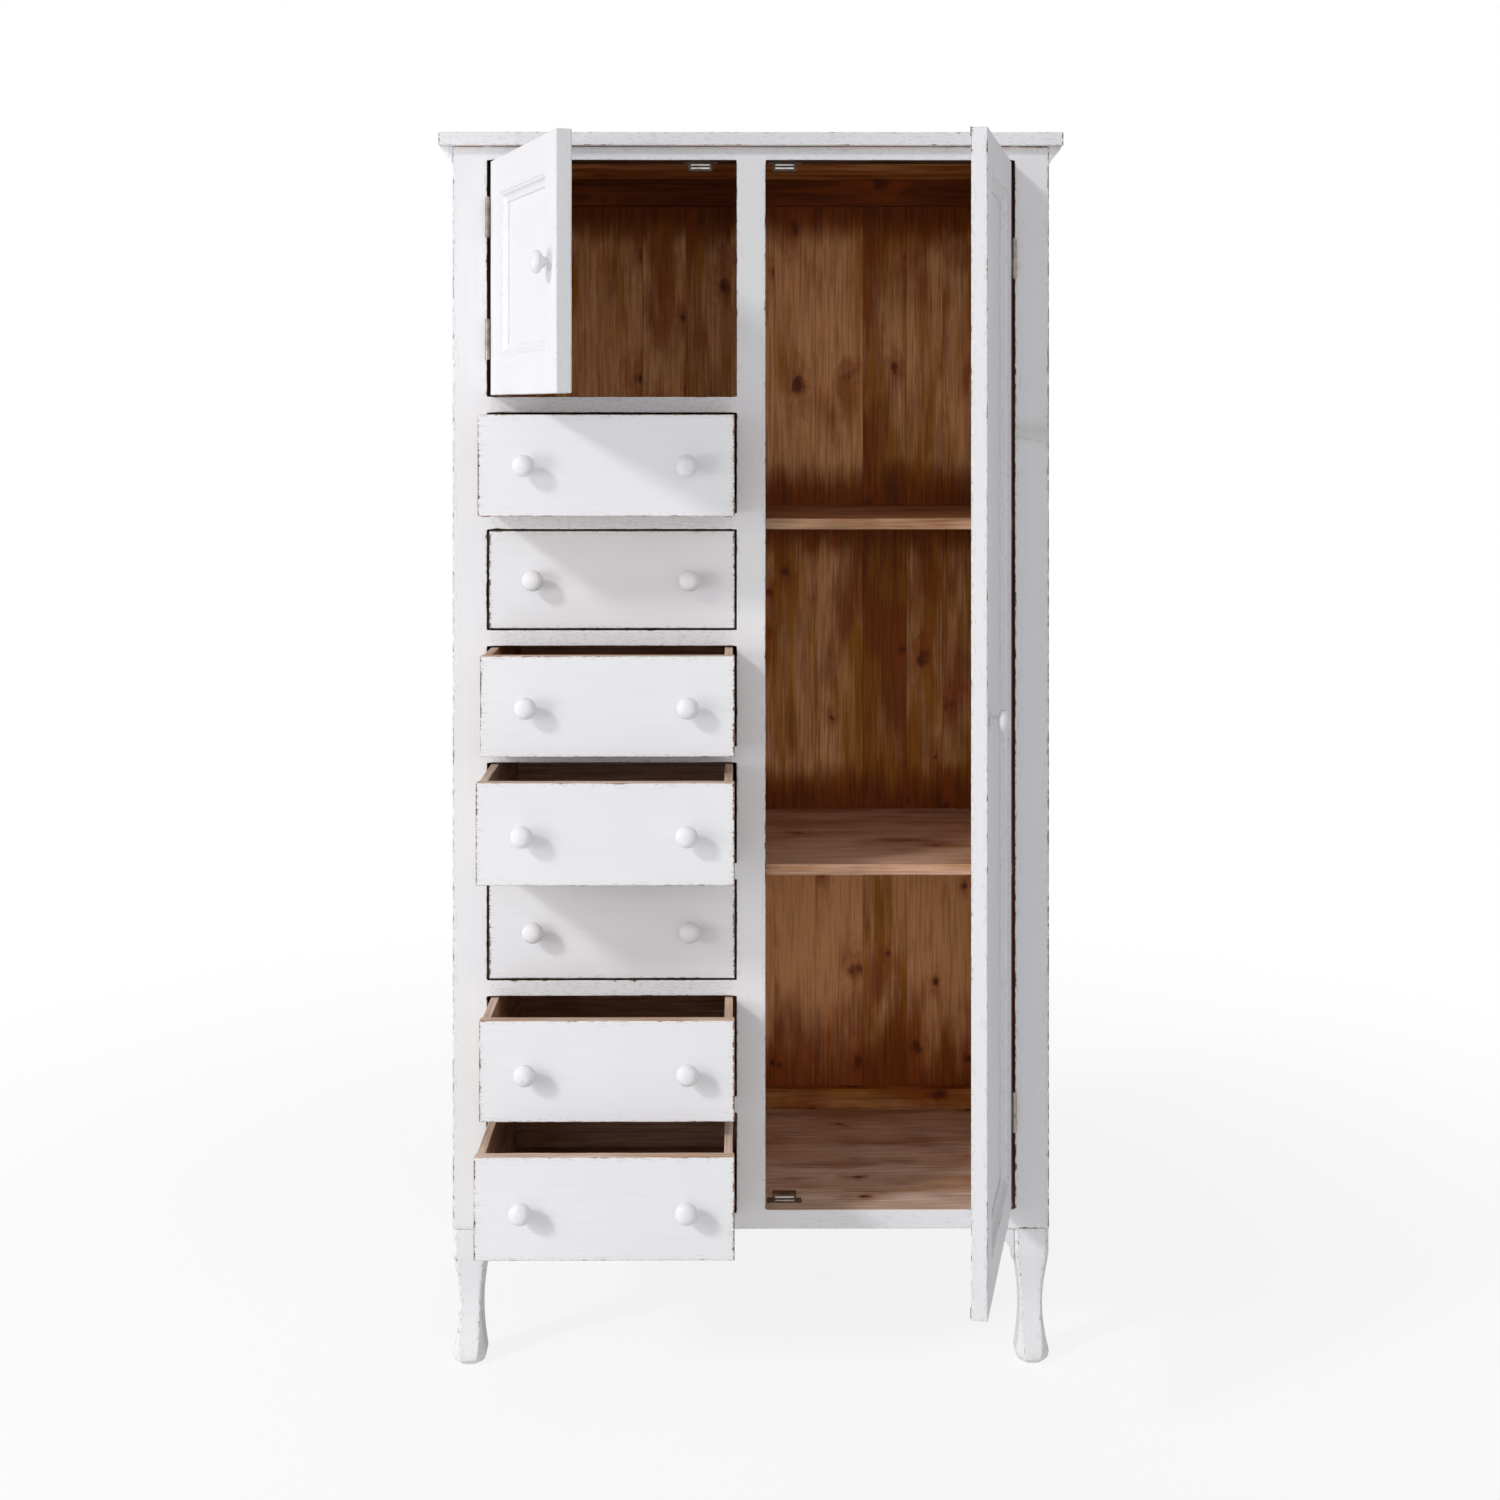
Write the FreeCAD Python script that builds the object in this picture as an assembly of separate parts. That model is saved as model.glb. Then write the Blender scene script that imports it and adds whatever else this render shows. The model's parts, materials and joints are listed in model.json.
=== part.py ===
import FreeCAD, Part
from collections import namedtuple
import math
import os

# Painted bonnetiere cabinet: seven drawers under a small cupboard, beside one tall bay.
# Millimetres, +Z up, +Y towards the back. The origin is on the floor under the middle of the
# carcass. Doors and drawers are stored as far open as the open angles and pulls below say.

# Carcass
carcass_width = 900.0
carcass_depth = 450.0
post_size = 52.0
centre_stile_width = 44.0
frame_depth = 27.0
partition_thickness = 18.0

# Levels, from the floor up
foot_height = 200.0
sill_height = 29.0
drawer_count = 7
drawer_opening_height = 152.0
drawer_rail_height = 24.0
cupboard_height = 357.0
top_rail_height = 21.0
top_rail_depth = 48.0
top_board_thickness = 20.0
top_board_side_overhang = 20.0
top_board_front_overhang = 12.0

# Crown moulding: a bevel between two narrow fillets, outline as shares of its width and height
crown_width = 18.0
crown_height = 24.0
crown_shares = ((0.0, 0.0), (1.0, 0.0), (1.0, 0.15), (0.15, 0.9), (0.15, 1.0), (0.0, 1.0))

# Sides
side_frame_thickness = 22.0
side_top_rail_height = 60.0
side_bottom_rail_height = 80.0
side_panel_thickness = 10.0
side_panel_recess = 8.0

# Back: boards of mixed width behind two rails, widths as shares of the clear width
back_board_thickness = 13.0
back_board_gap = 0.4
back_board_chamfer = 1.2
back_board_shares = (0.079, 0.092, 0.095, 0.095, 0.097, 0.096, 0.089, 0.104, 0.095, 0.079, 0.079)
back_rail_thickness = 18.0
back_top_rail_height = 45.0
back_bottom_rail_height = 63.0

# Floors and shelves
floor_thickness = 16.0
shelf_thickness = 17.0
shelf_setback = 28.0
upper_shelf_height = 1271.0
lower_shelf_height = 744.0
cleat_width = 12.0
cleat_height = 18.0

# Feet: a straight block over a shank that ends in a round toe. Each section gives its height as a
# share of all below the block, its width as a share of the post, its cut corners as a share of its
# width and how far a front foot stands forward there as a share of the post.
foot_block_height = 40.0
toe_section_shares = (
    (0.0, 0.52, 0.29, 0.34),
    (0.02, 0.74, 0.29, 0.36),
    (0.055, 0.9, 0.27, 0.36),
    (0.11, 0.97, 0.24, 0.32),
)
shank_section_shares = (
    toe_section_shares[-1],
    (0.28, 0.76, 0.14, 0.16),
    (0.47, 0.66, 0.1, 0.05),
    (0.69, 0.72, 0.1, 0.01),
    (1.0, 1.0, 0.1, 0.0),
)
bracket_size = 50.0
bracket_tip = 3.0
bracket_thickness = 20.0
bracket_setback = 3.0

# Drawers, from the top one down
drawer_pulls = (127.0, 0.0, 101.0, 147.0, 0.0, 111.0, 168.0)
drawer_gap = 2.5
drawer_front_thickness = 18.0
drawer_back_gap = 34.0
drawer_side_thickness = 12.0
drawer_side_inset = 3.0
drawer_back_height = 118.0
drawer_bottom_thickness = 6.0
drawer_bottom_rise = 8.0
drawer_groove_depth = 6.0
drawer_groove_clearance = 0.2
drawer_knob_inset = 68.0

# Drawer runners: a ledge under each side of a drawer, with a strip on it that guides the side
runner_width = 22.0
runner_thickness = 16.0
runner_clearance = 0.3
guide_height = 14.0
guide_clearance = 1.0

# Doors
small_door_angle = 69.2
tall_door_angle = 77.2
door_thickness = 22.0
door_end_gap = 2.5
door_free_gap = 3.0
door_stile_width = 58.0
door_top_rail_height = 54.0
door_bottom_rail_height = 60.0
panel_thickness = 8.0
panel_recess = 11.0
panel_groove_depth = 8.0
panel_clearance = 0.3
door_knob_inset = 31.0

# Panel moulding: width, and depth below the door's face, as shares
moulding_width = 14.0
moulding_shares = ((0.0, 0.1), (0.25, 0.1), (0.3, 0.4), (0.75, 0.75), (1.0, 0.8), (1.0, 1.0), (0.0, 1.0))

# Turned knobs: outline as shares of the radius and of the projection
knob_radius = 16.0
knob_projection = 28.0
knob_foot_share = (0.54, 0.0)
knob_collar_share = (0.54, 0.07)
knob_waist_share = (0.36, 0.23)
knob_neck_share = (0.5, 0.39)
knob_swell_share = (0.93, 0.53)
knob_rim_share = (1.0, 0.68)
knob_tenon_radius = 5.0
knob_tenon_length = 14.0
knob_tenon_clearance = 0.05

# Butt hinges
hinge_length = 60.0
hinge_leaf_width = 20.0
hinge_leaf_thickness = 1.2
hinge_leaf_gap = 0.2
hinge_barrel_radius = 3.6
hinge_pin_radius = 1.8
hinge_pin_clearance = 0.05
hinge_pin_tip = 1.0
hinge_standoff = 4.0
hinge_knuckle_share = 0.32
hinge_knuckle_gap = 0.3
small_hinge_inset = 84.0
tall_hinge_inset = 146.0

# Hinge screws
screw_head_radius = 3.0
screw_shank_radius = 1.5
screw_length = 14.0
screw_setback = 12.0
screw_end_inset = 11.0

# Magnetic catches and their strike plates
catch_width = 36.0
catch_depth = 16.0
catch_height = 13.0
catch_flange_width = 52.0
catch_flange_thickness = 1.6
catch_slot_width = 28.0
catch_slot_height = 7.0
catch_slot_depth = 6.0
catch_pole_thickness = 2.0
catch_pole_stand = 0.5
catch_clearance = 0.3
strike_width = 34.0
strike_height = 12.0
strike_thickness = 2.0
small_catch_inset = 55.0
tall_catch_inset = 29.0

# Cuts run this far past the faces that they open
overrun = 2.0

# Places worked out from the sizes
front_y = -carcass_depth / 2
back_y = carcass_depth / 2
right_x = carcass_width / 2
left_x = -right_x
opening_width = (carcass_width - 2 * post_size - centre_stile_width) / 2
left_opening = (left_x + post_size, left_x + post_size + opening_width)
right_opening = (right_x - post_size - opening_width, right_x - post_size)
partition_x = (-partition_thickness / 2, partition_thickness / 2)
frame_back_y = front_y + frame_depth
boards_y = back_y - back_board_thickness
rails_y = boards_y - back_rail_thickness
posts_y = (front_y + post_size, back_y - post_size)
panel_inner_x = right_x - side_panel_recess - side_panel_thickness
drawer_pitch = drawer_opening_height + drawer_rail_height
cupboard_bottom = foot_height + drawer_rail_height + drawer_count * drawer_pitch
cupboard_top = cupboard_bottom + cupboard_height
carcass_top = cupboard_top + top_rail_height
bay_bottom = foot_height + sill_height
door_hinge_gap = 2 * hinge_leaf_thickness + hinge_leaf_gap
catch_front_y = front_y + door_thickness + strike_thickness + catch_clearance

Door = namedtuple("Door", "name hand hinge_x bottom top angle hinge_inset catch_inset catch_levels")
small_door = Door(
    "small_door", 1, left_opening[0], cupboard_bottom, cupboard_top,
    small_door_angle, small_hinge_inset, small_catch_inset, (cupboard_top - catch_height / 2,),
)
tall_door = Door(
    "tall_door", -1, right_opening[1], bay_bottom, cupboard_top,
    tall_door_angle, tall_hinge_inset, tall_catch_inset,
    (cupboard_top - catch_height / 2, bay_bottom + catch_height / 2),
)


def block(xs, ys, zs):
    """Box between two limits on each axis, given in either order."""
    corner = FreeCAD.Vector(min(xs), min(ys), min(zs))
    size = [abs(limits[1] - limits[0]) for limits in (xs, ys, zs)]
    return Part.makeBox(*size, corner)


def outline(points):
    """Closed wire through points."""
    return Part.makePolygon([*points, points[0]])


def prism(points, path):
    """Solid swept straight along path from a closed outline."""
    return Part.Face(outline(points)).extrude(path)


def rod(radius, start, path):
    """Cylinder from a start point along path."""
    return Part.makeCylinder(radius, path.Length, start, path)


def cut_all(solid, tools):
    """Solid with every tool cut out of it."""
    for tool in tools:
        solid = solid.cut(tool)
    return solid


def save(node, shapes):
    """Write one node as separate solids."""
    solids = [solid for shape in shapes for solid in shape.Solids]
    Part.makeCompound(solids).exportStep(f"parts/{node}.step")


def drawer_floor(number):
    """Level of the rail and runners under a drawer, counted from 1 at the top."""
    return foot_height + drawer_rail_height + (drawer_count - number) * drawer_pitch


# Carcass pieces


def post(side, back):
    """Square corner post, left (-1) or right (1), front or back."""
    xs = (side * right_x, side * (right_x - post_size))
    ys = (posts_y[1], back_y) if back else (front_y, posts_y[0])
    return block(xs, ys, (foot_height, carcass_top))


def top_board():
    """Flat top that overhangs the sides and the front."""
    reach = right_x + top_board_side_overhang
    ys = (front_y - top_board_front_overhang, back_y)
    return block((-reach, reach), ys, (carcass_top, carcass_top + top_board_thickness))


def crown(side):
    """Bevelled moulding along one side, under the top board."""
    points = [
        FreeCAD.Vector(side * (right_x + out * crown_width), front_y, carcass_top - down * crown_height)
        for out, down in crown_shares
    ]
    return prism(points, FreeCAD.Vector(0, carcass_depth, 0))


def top_rail():
    """Deep rail over both openings."""
    xs = (left_opening[0], right_opening[1])
    return block(xs, (front_y, front_y + top_rail_depth), (cupboard_top, carcass_top))


def centre_stile():
    """Upright between the two columns, behind which the partition stands."""
    xs = (left_opening[1], right_opening[0])
    return block(xs, (front_y, frame_back_y), (foot_height, cupboard_top))


def drawer_rail(level):
    """Rail of the drawer column with its top at a level."""
    return block(left_opening, (front_y, frame_back_y), (level - drawer_rail_height, level))


def bay_sill():
    """Rail under the tall bay."""
    return block(right_opening, (front_y, frame_back_y), (foot_height, bay_bottom))


def side_rails(side):
    """Top and bottom rails of one framed side."""
    xs = (side * right_x, side * (right_x - side_frame_thickness))
    top = block(xs, posts_y, (carcass_top - side_top_rail_height, carcass_top))
    bottom = block(xs, posts_y, (foot_height, foot_height + side_bottom_rail_height))
    return [top, bottom]


def side_panel(side):
    """Flat panel of one framed side, set back from the posts."""
    xs = (side * (right_x - side_panel_recess), side * panel_inner_x)
    zs = (foot_height + side_bottom_rail_height, carcass_top - side_top_rail_height)
    return block(xs, posts_y, zs)


def back_rails():
    """Top and bottom rails that the back boards are nailed to."""
    xs = (left_opening[0], right_opening[1])
    top = block(xs, (rails_y, boards_y), (carcass_top - back_top_rail_height, carcass_top))
    bottom = block(xs, (rails_y, boards_y), (foot_height, foot_height + back_bottom_rail_height))
    return [top, bottom]


def back_boards():
    """Upright boards with chamfered inner edges, side by side between the back posts."""
    clear_width = right_opening[1] - left_opening[0]
    edge = left_opening[0]
    boards = []
    for share in back_board_shares:
        width = clear_width * share / sum(back_board_shares)
        x0 = edge + back_board_gap / 2
        x1 = edge + width - back_board_gap / 2
        section = (
            (x0, back_y),
            (x1, back_y),
            (x1, boards_y + back_board_chamfer),
            (x1 - back_board_chamfer, boards_y),
            (x0 + back_board_chamfer, boards_y),
            (x0, boards_y + back_board_chamfer),
        )
        points = [FreeCAD.Vector(x, y, foot_height) for x, y in section]
        boards.append(prism(points, FreeCAD.Vector(0, 0, carcass_top - foot_height)))
        edge += width
    return boards


def partition(rails):
    """Upright board between the columns, notched round the rails that cross it."""
    board = block(partition_x, (frame_back_y, boards_y), (foot_height, carcass_top))
    return cut_all(board, rails)


def floor_board(xs, level, neighbours):
    """Floor board of a bay with its top at a level, notched round the posts and rails."""
    board = block(xs, (frame_back_y, boards_y), (level - floor_thickness, level))
    return cut_all(board, neighbours)


def shelf(level, posts):
    """Shelf of the tall bay, notched round the posts."""
    xs = (partition_x[1], panel_inner_x)
    ys = (front_y + shelf_setback, boards_y)
    return cut_all(block(xs, ys, (level - shelf_thickness, level)), posts)


def shelf_cleats(level):
    """Strips under the ends of a shelf, on the partition and on the side panel."""
    zs = (level - shelf_thickness - cleat_height, level - shelf_thickness)
    inner = block((partition_x[1], partition_x[1] + cleat_width), (front_y + shelf_setback, boards_y), zs)
    outer = block((panel_inner_x - cleat_width, panel_inner_x), posts_y, zs)
    return [inner, outer]


def foot_section(side, back, rise, width, corner, forward):
    """Eight-sided section across a foot."""
    half = post_size * width / 2
    flat = half - post_size * width * corner
    x = side * (right_x - post_size / 2)
    post_y = back_y - post_size / 2
    y = post_y if back else -post_y - post_size * forward
    level = rise * (foot_height - foot_block_height)
    corners = (
        (half, flat), (flat, half), (-flat, half), (-half, flat),
        (-half, -flat), (-flat, -half), (flat, -half), (half, -flat),
    )
    return outline([FreeCAD.Vector(x + dx, y + dy, level) for dx, dy in corners])


def foot(side, back):
    """Shaped foot under a post: a straight block over a shank that narrows and ends in a round toe."""
    toe_wires = [foot_section(side, back, *shares) for shares in toe_section_shares]
    shank_wires = [foot_section(side, back, *shares) for shares in shank_section_shares]
    toe = Part.makeLoft(toe_wires, True, True)
    shank = Part.makeLoft(shank_wires, True, False)
    head = Part.Face(shank_wires[-1]).extrude(FreeCAD.Vector(0, 0, foot_block_height))
    return toe.fuse(shank).fuse(head).removeSplitter()


def knee_bracket(side):
    """Small bracket with a hollow edge, in the corner between a front foot and its rail."""
    inner_x = right_x - post_size
    ys = (front_y + bracket_setback, front_y + bracket_setback + bracket_thickness)
    xs = (side * inner_x, side * (inner_x - bracket_size))
    zs = (foot_height, foot_height - bracket_size)
    body = block(xs, ys, zs)
    start = FreeCAD.Vector(xs[1], ys[0] - overrun, zs[1])
    hollow = rod(bracket_size - bracket_tip, start, FreeCAD.Vector(0, bracket_thickness + 2 * overrun, 0))
    return body.cut(hollow)


def drawer_runner(number, side):
    """Ledge and the strip on it that guides the left (1) or right (-1) side of a drawer."""
    level = drawer_floor(number)
    edge = left_opening[0] if side > 0 else left_opening[1]
    support = edge if side > 0 else partition_x[0]
    guide_edge = edge + side * (drawer_gap + drawer_side_inset - guide_clearance)
    ys = (frame_back_y, rails_y)
    ledge = block((support, edge + side * runner_width), ys, (level - runner_thickness, level))
    guide = block((support, guide_edge), ys, (level, level + guide_height))
    return [ledge, guide]


# Knobs


def knob():
    """Turned knob that projects towards -Y from the origin, with a tenon towards +Y."""
    def place(share):
        return FreeCAD.Vector(share[0] * knob_radius, -share[1] * knob_projection, 0)

    def arc(start, middle, end):
        return Part.Arc(place(start), place(middle), place(end)).toShape()

    rim = place(knob_rim_share)
    tip = FreeCAD.Vector(0, -knob_projection, 0)
    centre_y = (rim.x ** 2 + rim.y ** 2 - tip.y ** 2) / (2 * (rim.y - tip.y))
    dome_radius = centre_y - tip.y
    half_angle = math.atan2(rim.x, centre_y - rim.y) / 2
    crest = FreeCAD.Vector(
        dome_radius * math.sin(half_angle), centre_y - dome_radius * math.cos(half_angle), 0
    )
    tenon_root = FreeCAD.Vector(0, knob_tenon_length, 0)
    tenon_edge = FreeCAD.Vector(knob_tenon_radius, knob_tenon_length, 0)
    tenon_neck = FreeCAD.Vector(knob_tenon_radius, 0, 0)
    edges = [
        Part.makeLine(tenon_root, tenon_edge),
        Part.makeLine(tenon_edge, tenon_neck),
        Part.makeLine(tenon_neck, place(knob_foot_share)),
        Part.makeLine(place(knob_foot_share), place(knob_collar_share)),
        arc(knob_collar_share, knob_waist_share, knob_neck_share),
        arc(knob_neck_share, knob_swell_share, knob_rim_share),
        Part.Arc(rim, crest, tip).toShape(),
        Part.makeLine(tip, tenon_root),
    ]
    face = Part.Face(Part.Wire(edges))
    return face.revolve(FreeCAD.Vector(0, 0, 0), FreeCAD.Vector(0, 1, 0), 360)


def knob_at(x, z):
    """Knob seated on the front plane."""
    return knob().translated(FreeCAD.Vector(x, front_y, z))


def knob_hole(x, z):
    """Hole that takes a knob's tenon."""
    start = FreeCAD.Vector(x, front_y - overrun, z)
    depth = overrun + knob_tenon_length + knob_tenon_clearance
    return rod(knob_tenon_radius + knob_tenon_clearance, start, FreeCAD.Vector(0, depth, 0))


# Drawers


def drawer(number, pull):
    """Front, box and knobs of one drawer, moved out by its pull."""
    level = drawer_floor(number)
    front_xs = (left_opening[0] + drawer_gap, left_opening[1] - drawer_gap)
    front_zs = (level + drawer_gap, level + drawer_opening_height - drawer_gap)
    outer_xs = (front_xs[0] + drawer_side_inset, front_xs[1] - drawer_side_inset)
    inner_xs = (outer_xs[0] + drawer_side_thickness, outer_xs[1] - drawer_side_thickness)
    box_y = front_y + drawer_front_thickness
    box_end = boards_y - drawer_back_gap
    back_inner = box_end - drawer_side_thickness
    side_zs = (level + runner_clearance, front_zs[1])
    bottom_zs = (side_zs[0] + drawer_bottom_rise, side_zs[0] + drawer_bottom_rise + drawer_bottom_thickness)
    reach = drawer_groove_depth - drawer_groove_clearance
    bottom = block((inner_xs[0] - reach, inner_xs[1] + reach), (box_y - reach, box_end), bottom_zs)
    groove_zs = (bottom_zs[0] - drawer_groove_clearance, bottom_zs[1] + drawer_groove_clearance)
    groove = block(
        (inner_xs[0] - drawer_groove_depth, inner_xs[1] + drawer_groove_depth),
        (box_y - drawer_groove_depth, box_end + overrun),
        groove_zs,
    )
    sides = [block(xs, (box_y, box_end), side_zs).cut(groove) for xs in zip(outer_xs, inner_xs)]
    back = block(inner_xs, (back_inner, box_end), (groove_zs[1], groove_zs[1] + drawer_back_height))
    knob_z = sum(front_zs) / 2
    knob_xs = (front_xs[0] + drawer_knob_inset, front_xs[1] - drawer_knob_inset)
    holes = [knob_hole(x, knob_z) for x in knob_xs]
    front = cut_all(block(front_xs, (front_y, box_y), front_zs), [groove, *holes])
    nodes = {
        "front": [front],
        "box": [*sides, back, bottom],
        "knobs": [knob_at(x, knob_z) for x in knob_xs],
    }
    out = FreeCAD.Vector(0, -pull, 0)
    return {node: [shape.translated(out) for shape in shapes] for node, shapes in nodes.items()}


# Doors. Their pieces are placed closed: u runs from the hinge side's opening edge to the free
# side, t from the front plane inwards.


def door_x(door, u):
    """Place of u on a door, along X."""
    return door.hinge_x + door.hand * u


def door_block(door, us, ts, zs):
    """Box on a closed door."""
    xs = (door_x(door, us[0]), door_x(door, us[1]))
    return block(xs, (front_y + ts[0], front_y + ts[1]), zs)


def door_span(door):
    """Limits of a door's frame, in u and in Z."""
    us = (door_hinge_gap, opening_width - door_free_gap)
    return us, (door.bottom + door_end_gap, door.top - door_end_gap)


def panel_opening(door):
    """Limits of the opening inside a door's frame, in u and in Z."""
    us, zs = door_span(door)
    inner_us = (us[0] + door_stile_width, us[1] - door_stile_width)
    return inner_us, (zs[0] + door_bottom_rail_height, zs[1] - door_top_rail_height)


def grown(limits, amount):
    """Limits moved apart by an amount at each end."""
    return (limits[0] - amount, limits[1] + amount)


def door_panel(door, spare):
    """Panel of a door, or with spare room round it, the groove that it sits in."""
    us, zs = panel_opening(door)
    reach = panel_groove_depth - panel_clearance + spare
    ts = grown((panel_recess, panel_recess + panel_thickness), spare)
    return door_block(door, grown(us, reach), ts, grown(zs, reach))


def panel_mouldings(door):
    """Four mitred strips round a door's panel."""
    us, zs = panel_opening(door)

    def strip(edge, inwards, ends, upright):
        wires = []
        for end, turn in zip(ends, (1, -1)):
            points = []
            for width, depth in moulding_shares:
                across = edge + inwards * width * moulding_width
                along = end + turn * width * moulding_width
                u, z = (across, along) if upright else (along, across)
                y = front_y + depth * panel_recess
                points.append(FreeCAD.Vector(door_x(door, u), y, z))
            wires.append(outline(points))
        return Part.makeLoft(wires, True, True)

    uprights = [strip(edge, inwards, zs, True) for edge, inwards in zip(us, (1, -1))]
    levels = [strip(edge, inwards, us, False) for edge, inwards in zip(zs, (1, -1))]
    return uprights + levels


def hinge_levels(door):
    """Middle heights of a door's two hinges."""
    zs = door_span(door)[1]
    return (zs[0] + door.hinge_inset, zs[1] - door.hinge_inset)


def hinge_axis(door, z):
    """Point on a door's hinge axis."""
    return FreeCAD.Vector(door_x(door, door_hinge_gap / 2), front_y - hinge_standoff, z)


def hinge_screws(door, level, fixed):
    """Countersunk screws of one leaf, into the post or into the door."""
    head_u = hinge_leaf_thickness if fixed else door_hinge_gap - hinge_leaf_thickness
    into = FreeCAD.Vector(-door.hand if fixed else door.hand, 0, 0)
    screws = []
    for end in (-1, 1):
        z = level + end * (hinge_length / 2 - screw_end_inset)
        head = FreeCAD.Vector(door_x(door, head_u), front_y + screw_setback, z)
        cone = Part.makeCone(screw_head_radius, screw_shank_radius, hinge_leaf_thickness, head, into)
        shank = rod(screw_shank_radius, head + into * hinge_leaf_thickness, into * screw_length)
        screws.append(cone.fuse(shank))
    return screws


def hinge_leaf(door, level, fixed):
    """Leaf with its knuckles: two outer ones on the fixed leaf, the middle one on the moving leaf."""
    bottom = level - hinge_length / 2
    joints = (hinge_length * hinge_knuckle_share, hinge_length * (1 - hinge_knuckle_share))
    us = (0, hinge_leaf_thickness)
    spans = [(0, joints[0]), (joints[1], hinge_length)]
    if not fixed:
        us = (door_hinge_gap - hinge_leaf_thickness, door_hinge_gap)
        spans = [(joints[0] + hinge_knuckle_gap, joints[1] - hinge_knuckle_gap)]
    leaf = door_block(door, us, (0, hinge_leaf_width), (bottom, bottom + hinge_length))
    for start, end in spans:
        zs = (bottom + start, bottom + end)
        web = door_block(door, us, (-hinge_standoff, 0), zs)
        barrel = rod(hinge_barrel_radius, hinge_axis(door, zs[0]), FreeCAD.Vector(0, 0, end - start))
        leaf = leaf.fuse(web).fuse(barrel)
    bore_radius = hinge_pin_radius + hinge_pin_clearance
    bore_path = FreeCAD.Vector(0, 0, hinge_length + 2 * overrun)
    bore = rod(bore_radius, hinge_axis(door, bottom - overrun), bore_path)
    return cut_all(leaf, [bore, *hinge_screws(door, level, fixed)]).removeSplitter()


def hinge_pin(door, level):
    """Pin through the knuckles, a little longer than the barrel."""
    length = hinge_length + 2 * hinge_pin_tip
    return rod(hinge_pin_radius, hinge_axis(door, level - length / 2), FreeCAD.Vector(0, 0, length))


def fixed_screws(door):
    """All the screws that hold a door's hinges to its post."""
    return [screw for level in hinge_levels(door) for screw in hinge_screws(door, level, True)]


def fixed_hinges(door):
    """Fixed leaves, pins and screws of a door's hinges."""
    levels = hinge_levels(door)
    leaves = [hinge_leaf(door, level, True) for level in levels]
    return leaves + [hinge_pin(door, level) for level in levels] + fixed_screws(door)


def door_nodes(door):
    """Pieces of one door by node, swung open about its hinge axis."""
    us, zs = door_span(door)
    inner_us, inner_zs = panel_opening(door)
    thick = (0, door_thickness)
    levels = hinge_levels(door)
    screws = [screw for level in levels for screw in hinge_screws(door, level, False)]
    knob_x = door_x(door, us[1] - door_knob_inset)
    knob_z = sum(zs) / 2
    cuts = [door_panel(door, panel_clearance), knob_hole(knob_x, knob_z), *screws]
    stile_us = ((us[0], inner_us[0]), (inner_us[1], us[1]))
    rail_zs = ((zs[0], inner_zs[0]), (inner_zs[1], zs[1]))
    strike_u = opening_width - door.catch_inset
    strike_us = grown((strike_u, strike_u), strike_width / 2)
    strike_ts = (door_thickness, door_thickness + strike_thickness)
    nodes = {
        "stiles": [cut_all(door_block(door, u, thick, zs), cuts) for u in stile_us],
        "rails": [cut_all(door_block(door, inner_us, thick, z), cuts) for z in rail_zs],
        "panel": [door_panel(door, 0)],
        "mouldings": panel_mouldings(door),
        "knob": [knob_at(knob_x, knob_z)],
        "hinges": [hinge_leaf(door, level, False) for level in levels] + screws,
        "strikes": [
            door_block(door, strike_us, strike_ts, grown((level, level), strike_height / 2))
            for level in door.catch_levels
        ],
    }
    axis = hinge_axis(door, 0)
    turn = -door.hand * door.angle
    up = FreeCAD.Vector(0, 0, 1)
    return {node: [shape.rotated(axis, up, turn) for shape in shapes] for node, shapes in nodes.items()}


# Catches


def catch(door, level):
    """Case and pole plates of a catch, hung from a rail or standing on a floor."""
    middle_x = door_x(door, opening_width - door.catch_inset)
    middle = (middle_x, middle_x)
    hung = level > (door.bottom + door.top) / 2
    seat = level + catch_height / 2 if hung else level - catch_height / 2
    away = -1 if hung else 1
    ys = (catch_front_y + catch_pole_stand, catch_front_y + catch_pole_stand + catch_depth)
    case = block(grown(middle, catch_width / 2), ys, (seat, seat + away * catch_height))
    flange = block(grown(middle, catch_flange_width / 2), ys, (seat, seat + away * catch_flange_thickness))
    slot_zs = grown((level, level), catch_slot_height / 2)
    slot_xs = grown(middle, catch_slot_width / 2)
    slot = block(slot_xs, (ys[0] - overrun, ys[0] + catch_slot_depth), slot_zs)
    pole_ys = (catch_front_y, ys[0] + catch_slot_depth)
    poles = [
        block(slot_xs, pole_ys, (slot_zs[0], slot_zs[0] + catch_pole_thickness)),
        block(slot_xs, pole_ys, (slot_zs[1] - catch_pole_thickness, slot_zs[1])),
    ]
    return case.fuse(flange).cut(slot).removeSplitter(), poles


# Assembly

os.makedirs("parts", exist_ok=True)
doors = (small_door, tall_door)
sides = (-1, 1)
left_post = post(-1, False)
right_post = post(1, False)
back_posts = [post(side, True) for side in sides]
all_posts = [left_post, right_post, *back_posts]
rails_at_back = back_rails()
rail_at_top = top_rail()
catches = [catch(door, level) for door in doors for level in door.catch_levels]
shelf_levels = (upper_shelf_height, lower_shelf_height)

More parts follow.
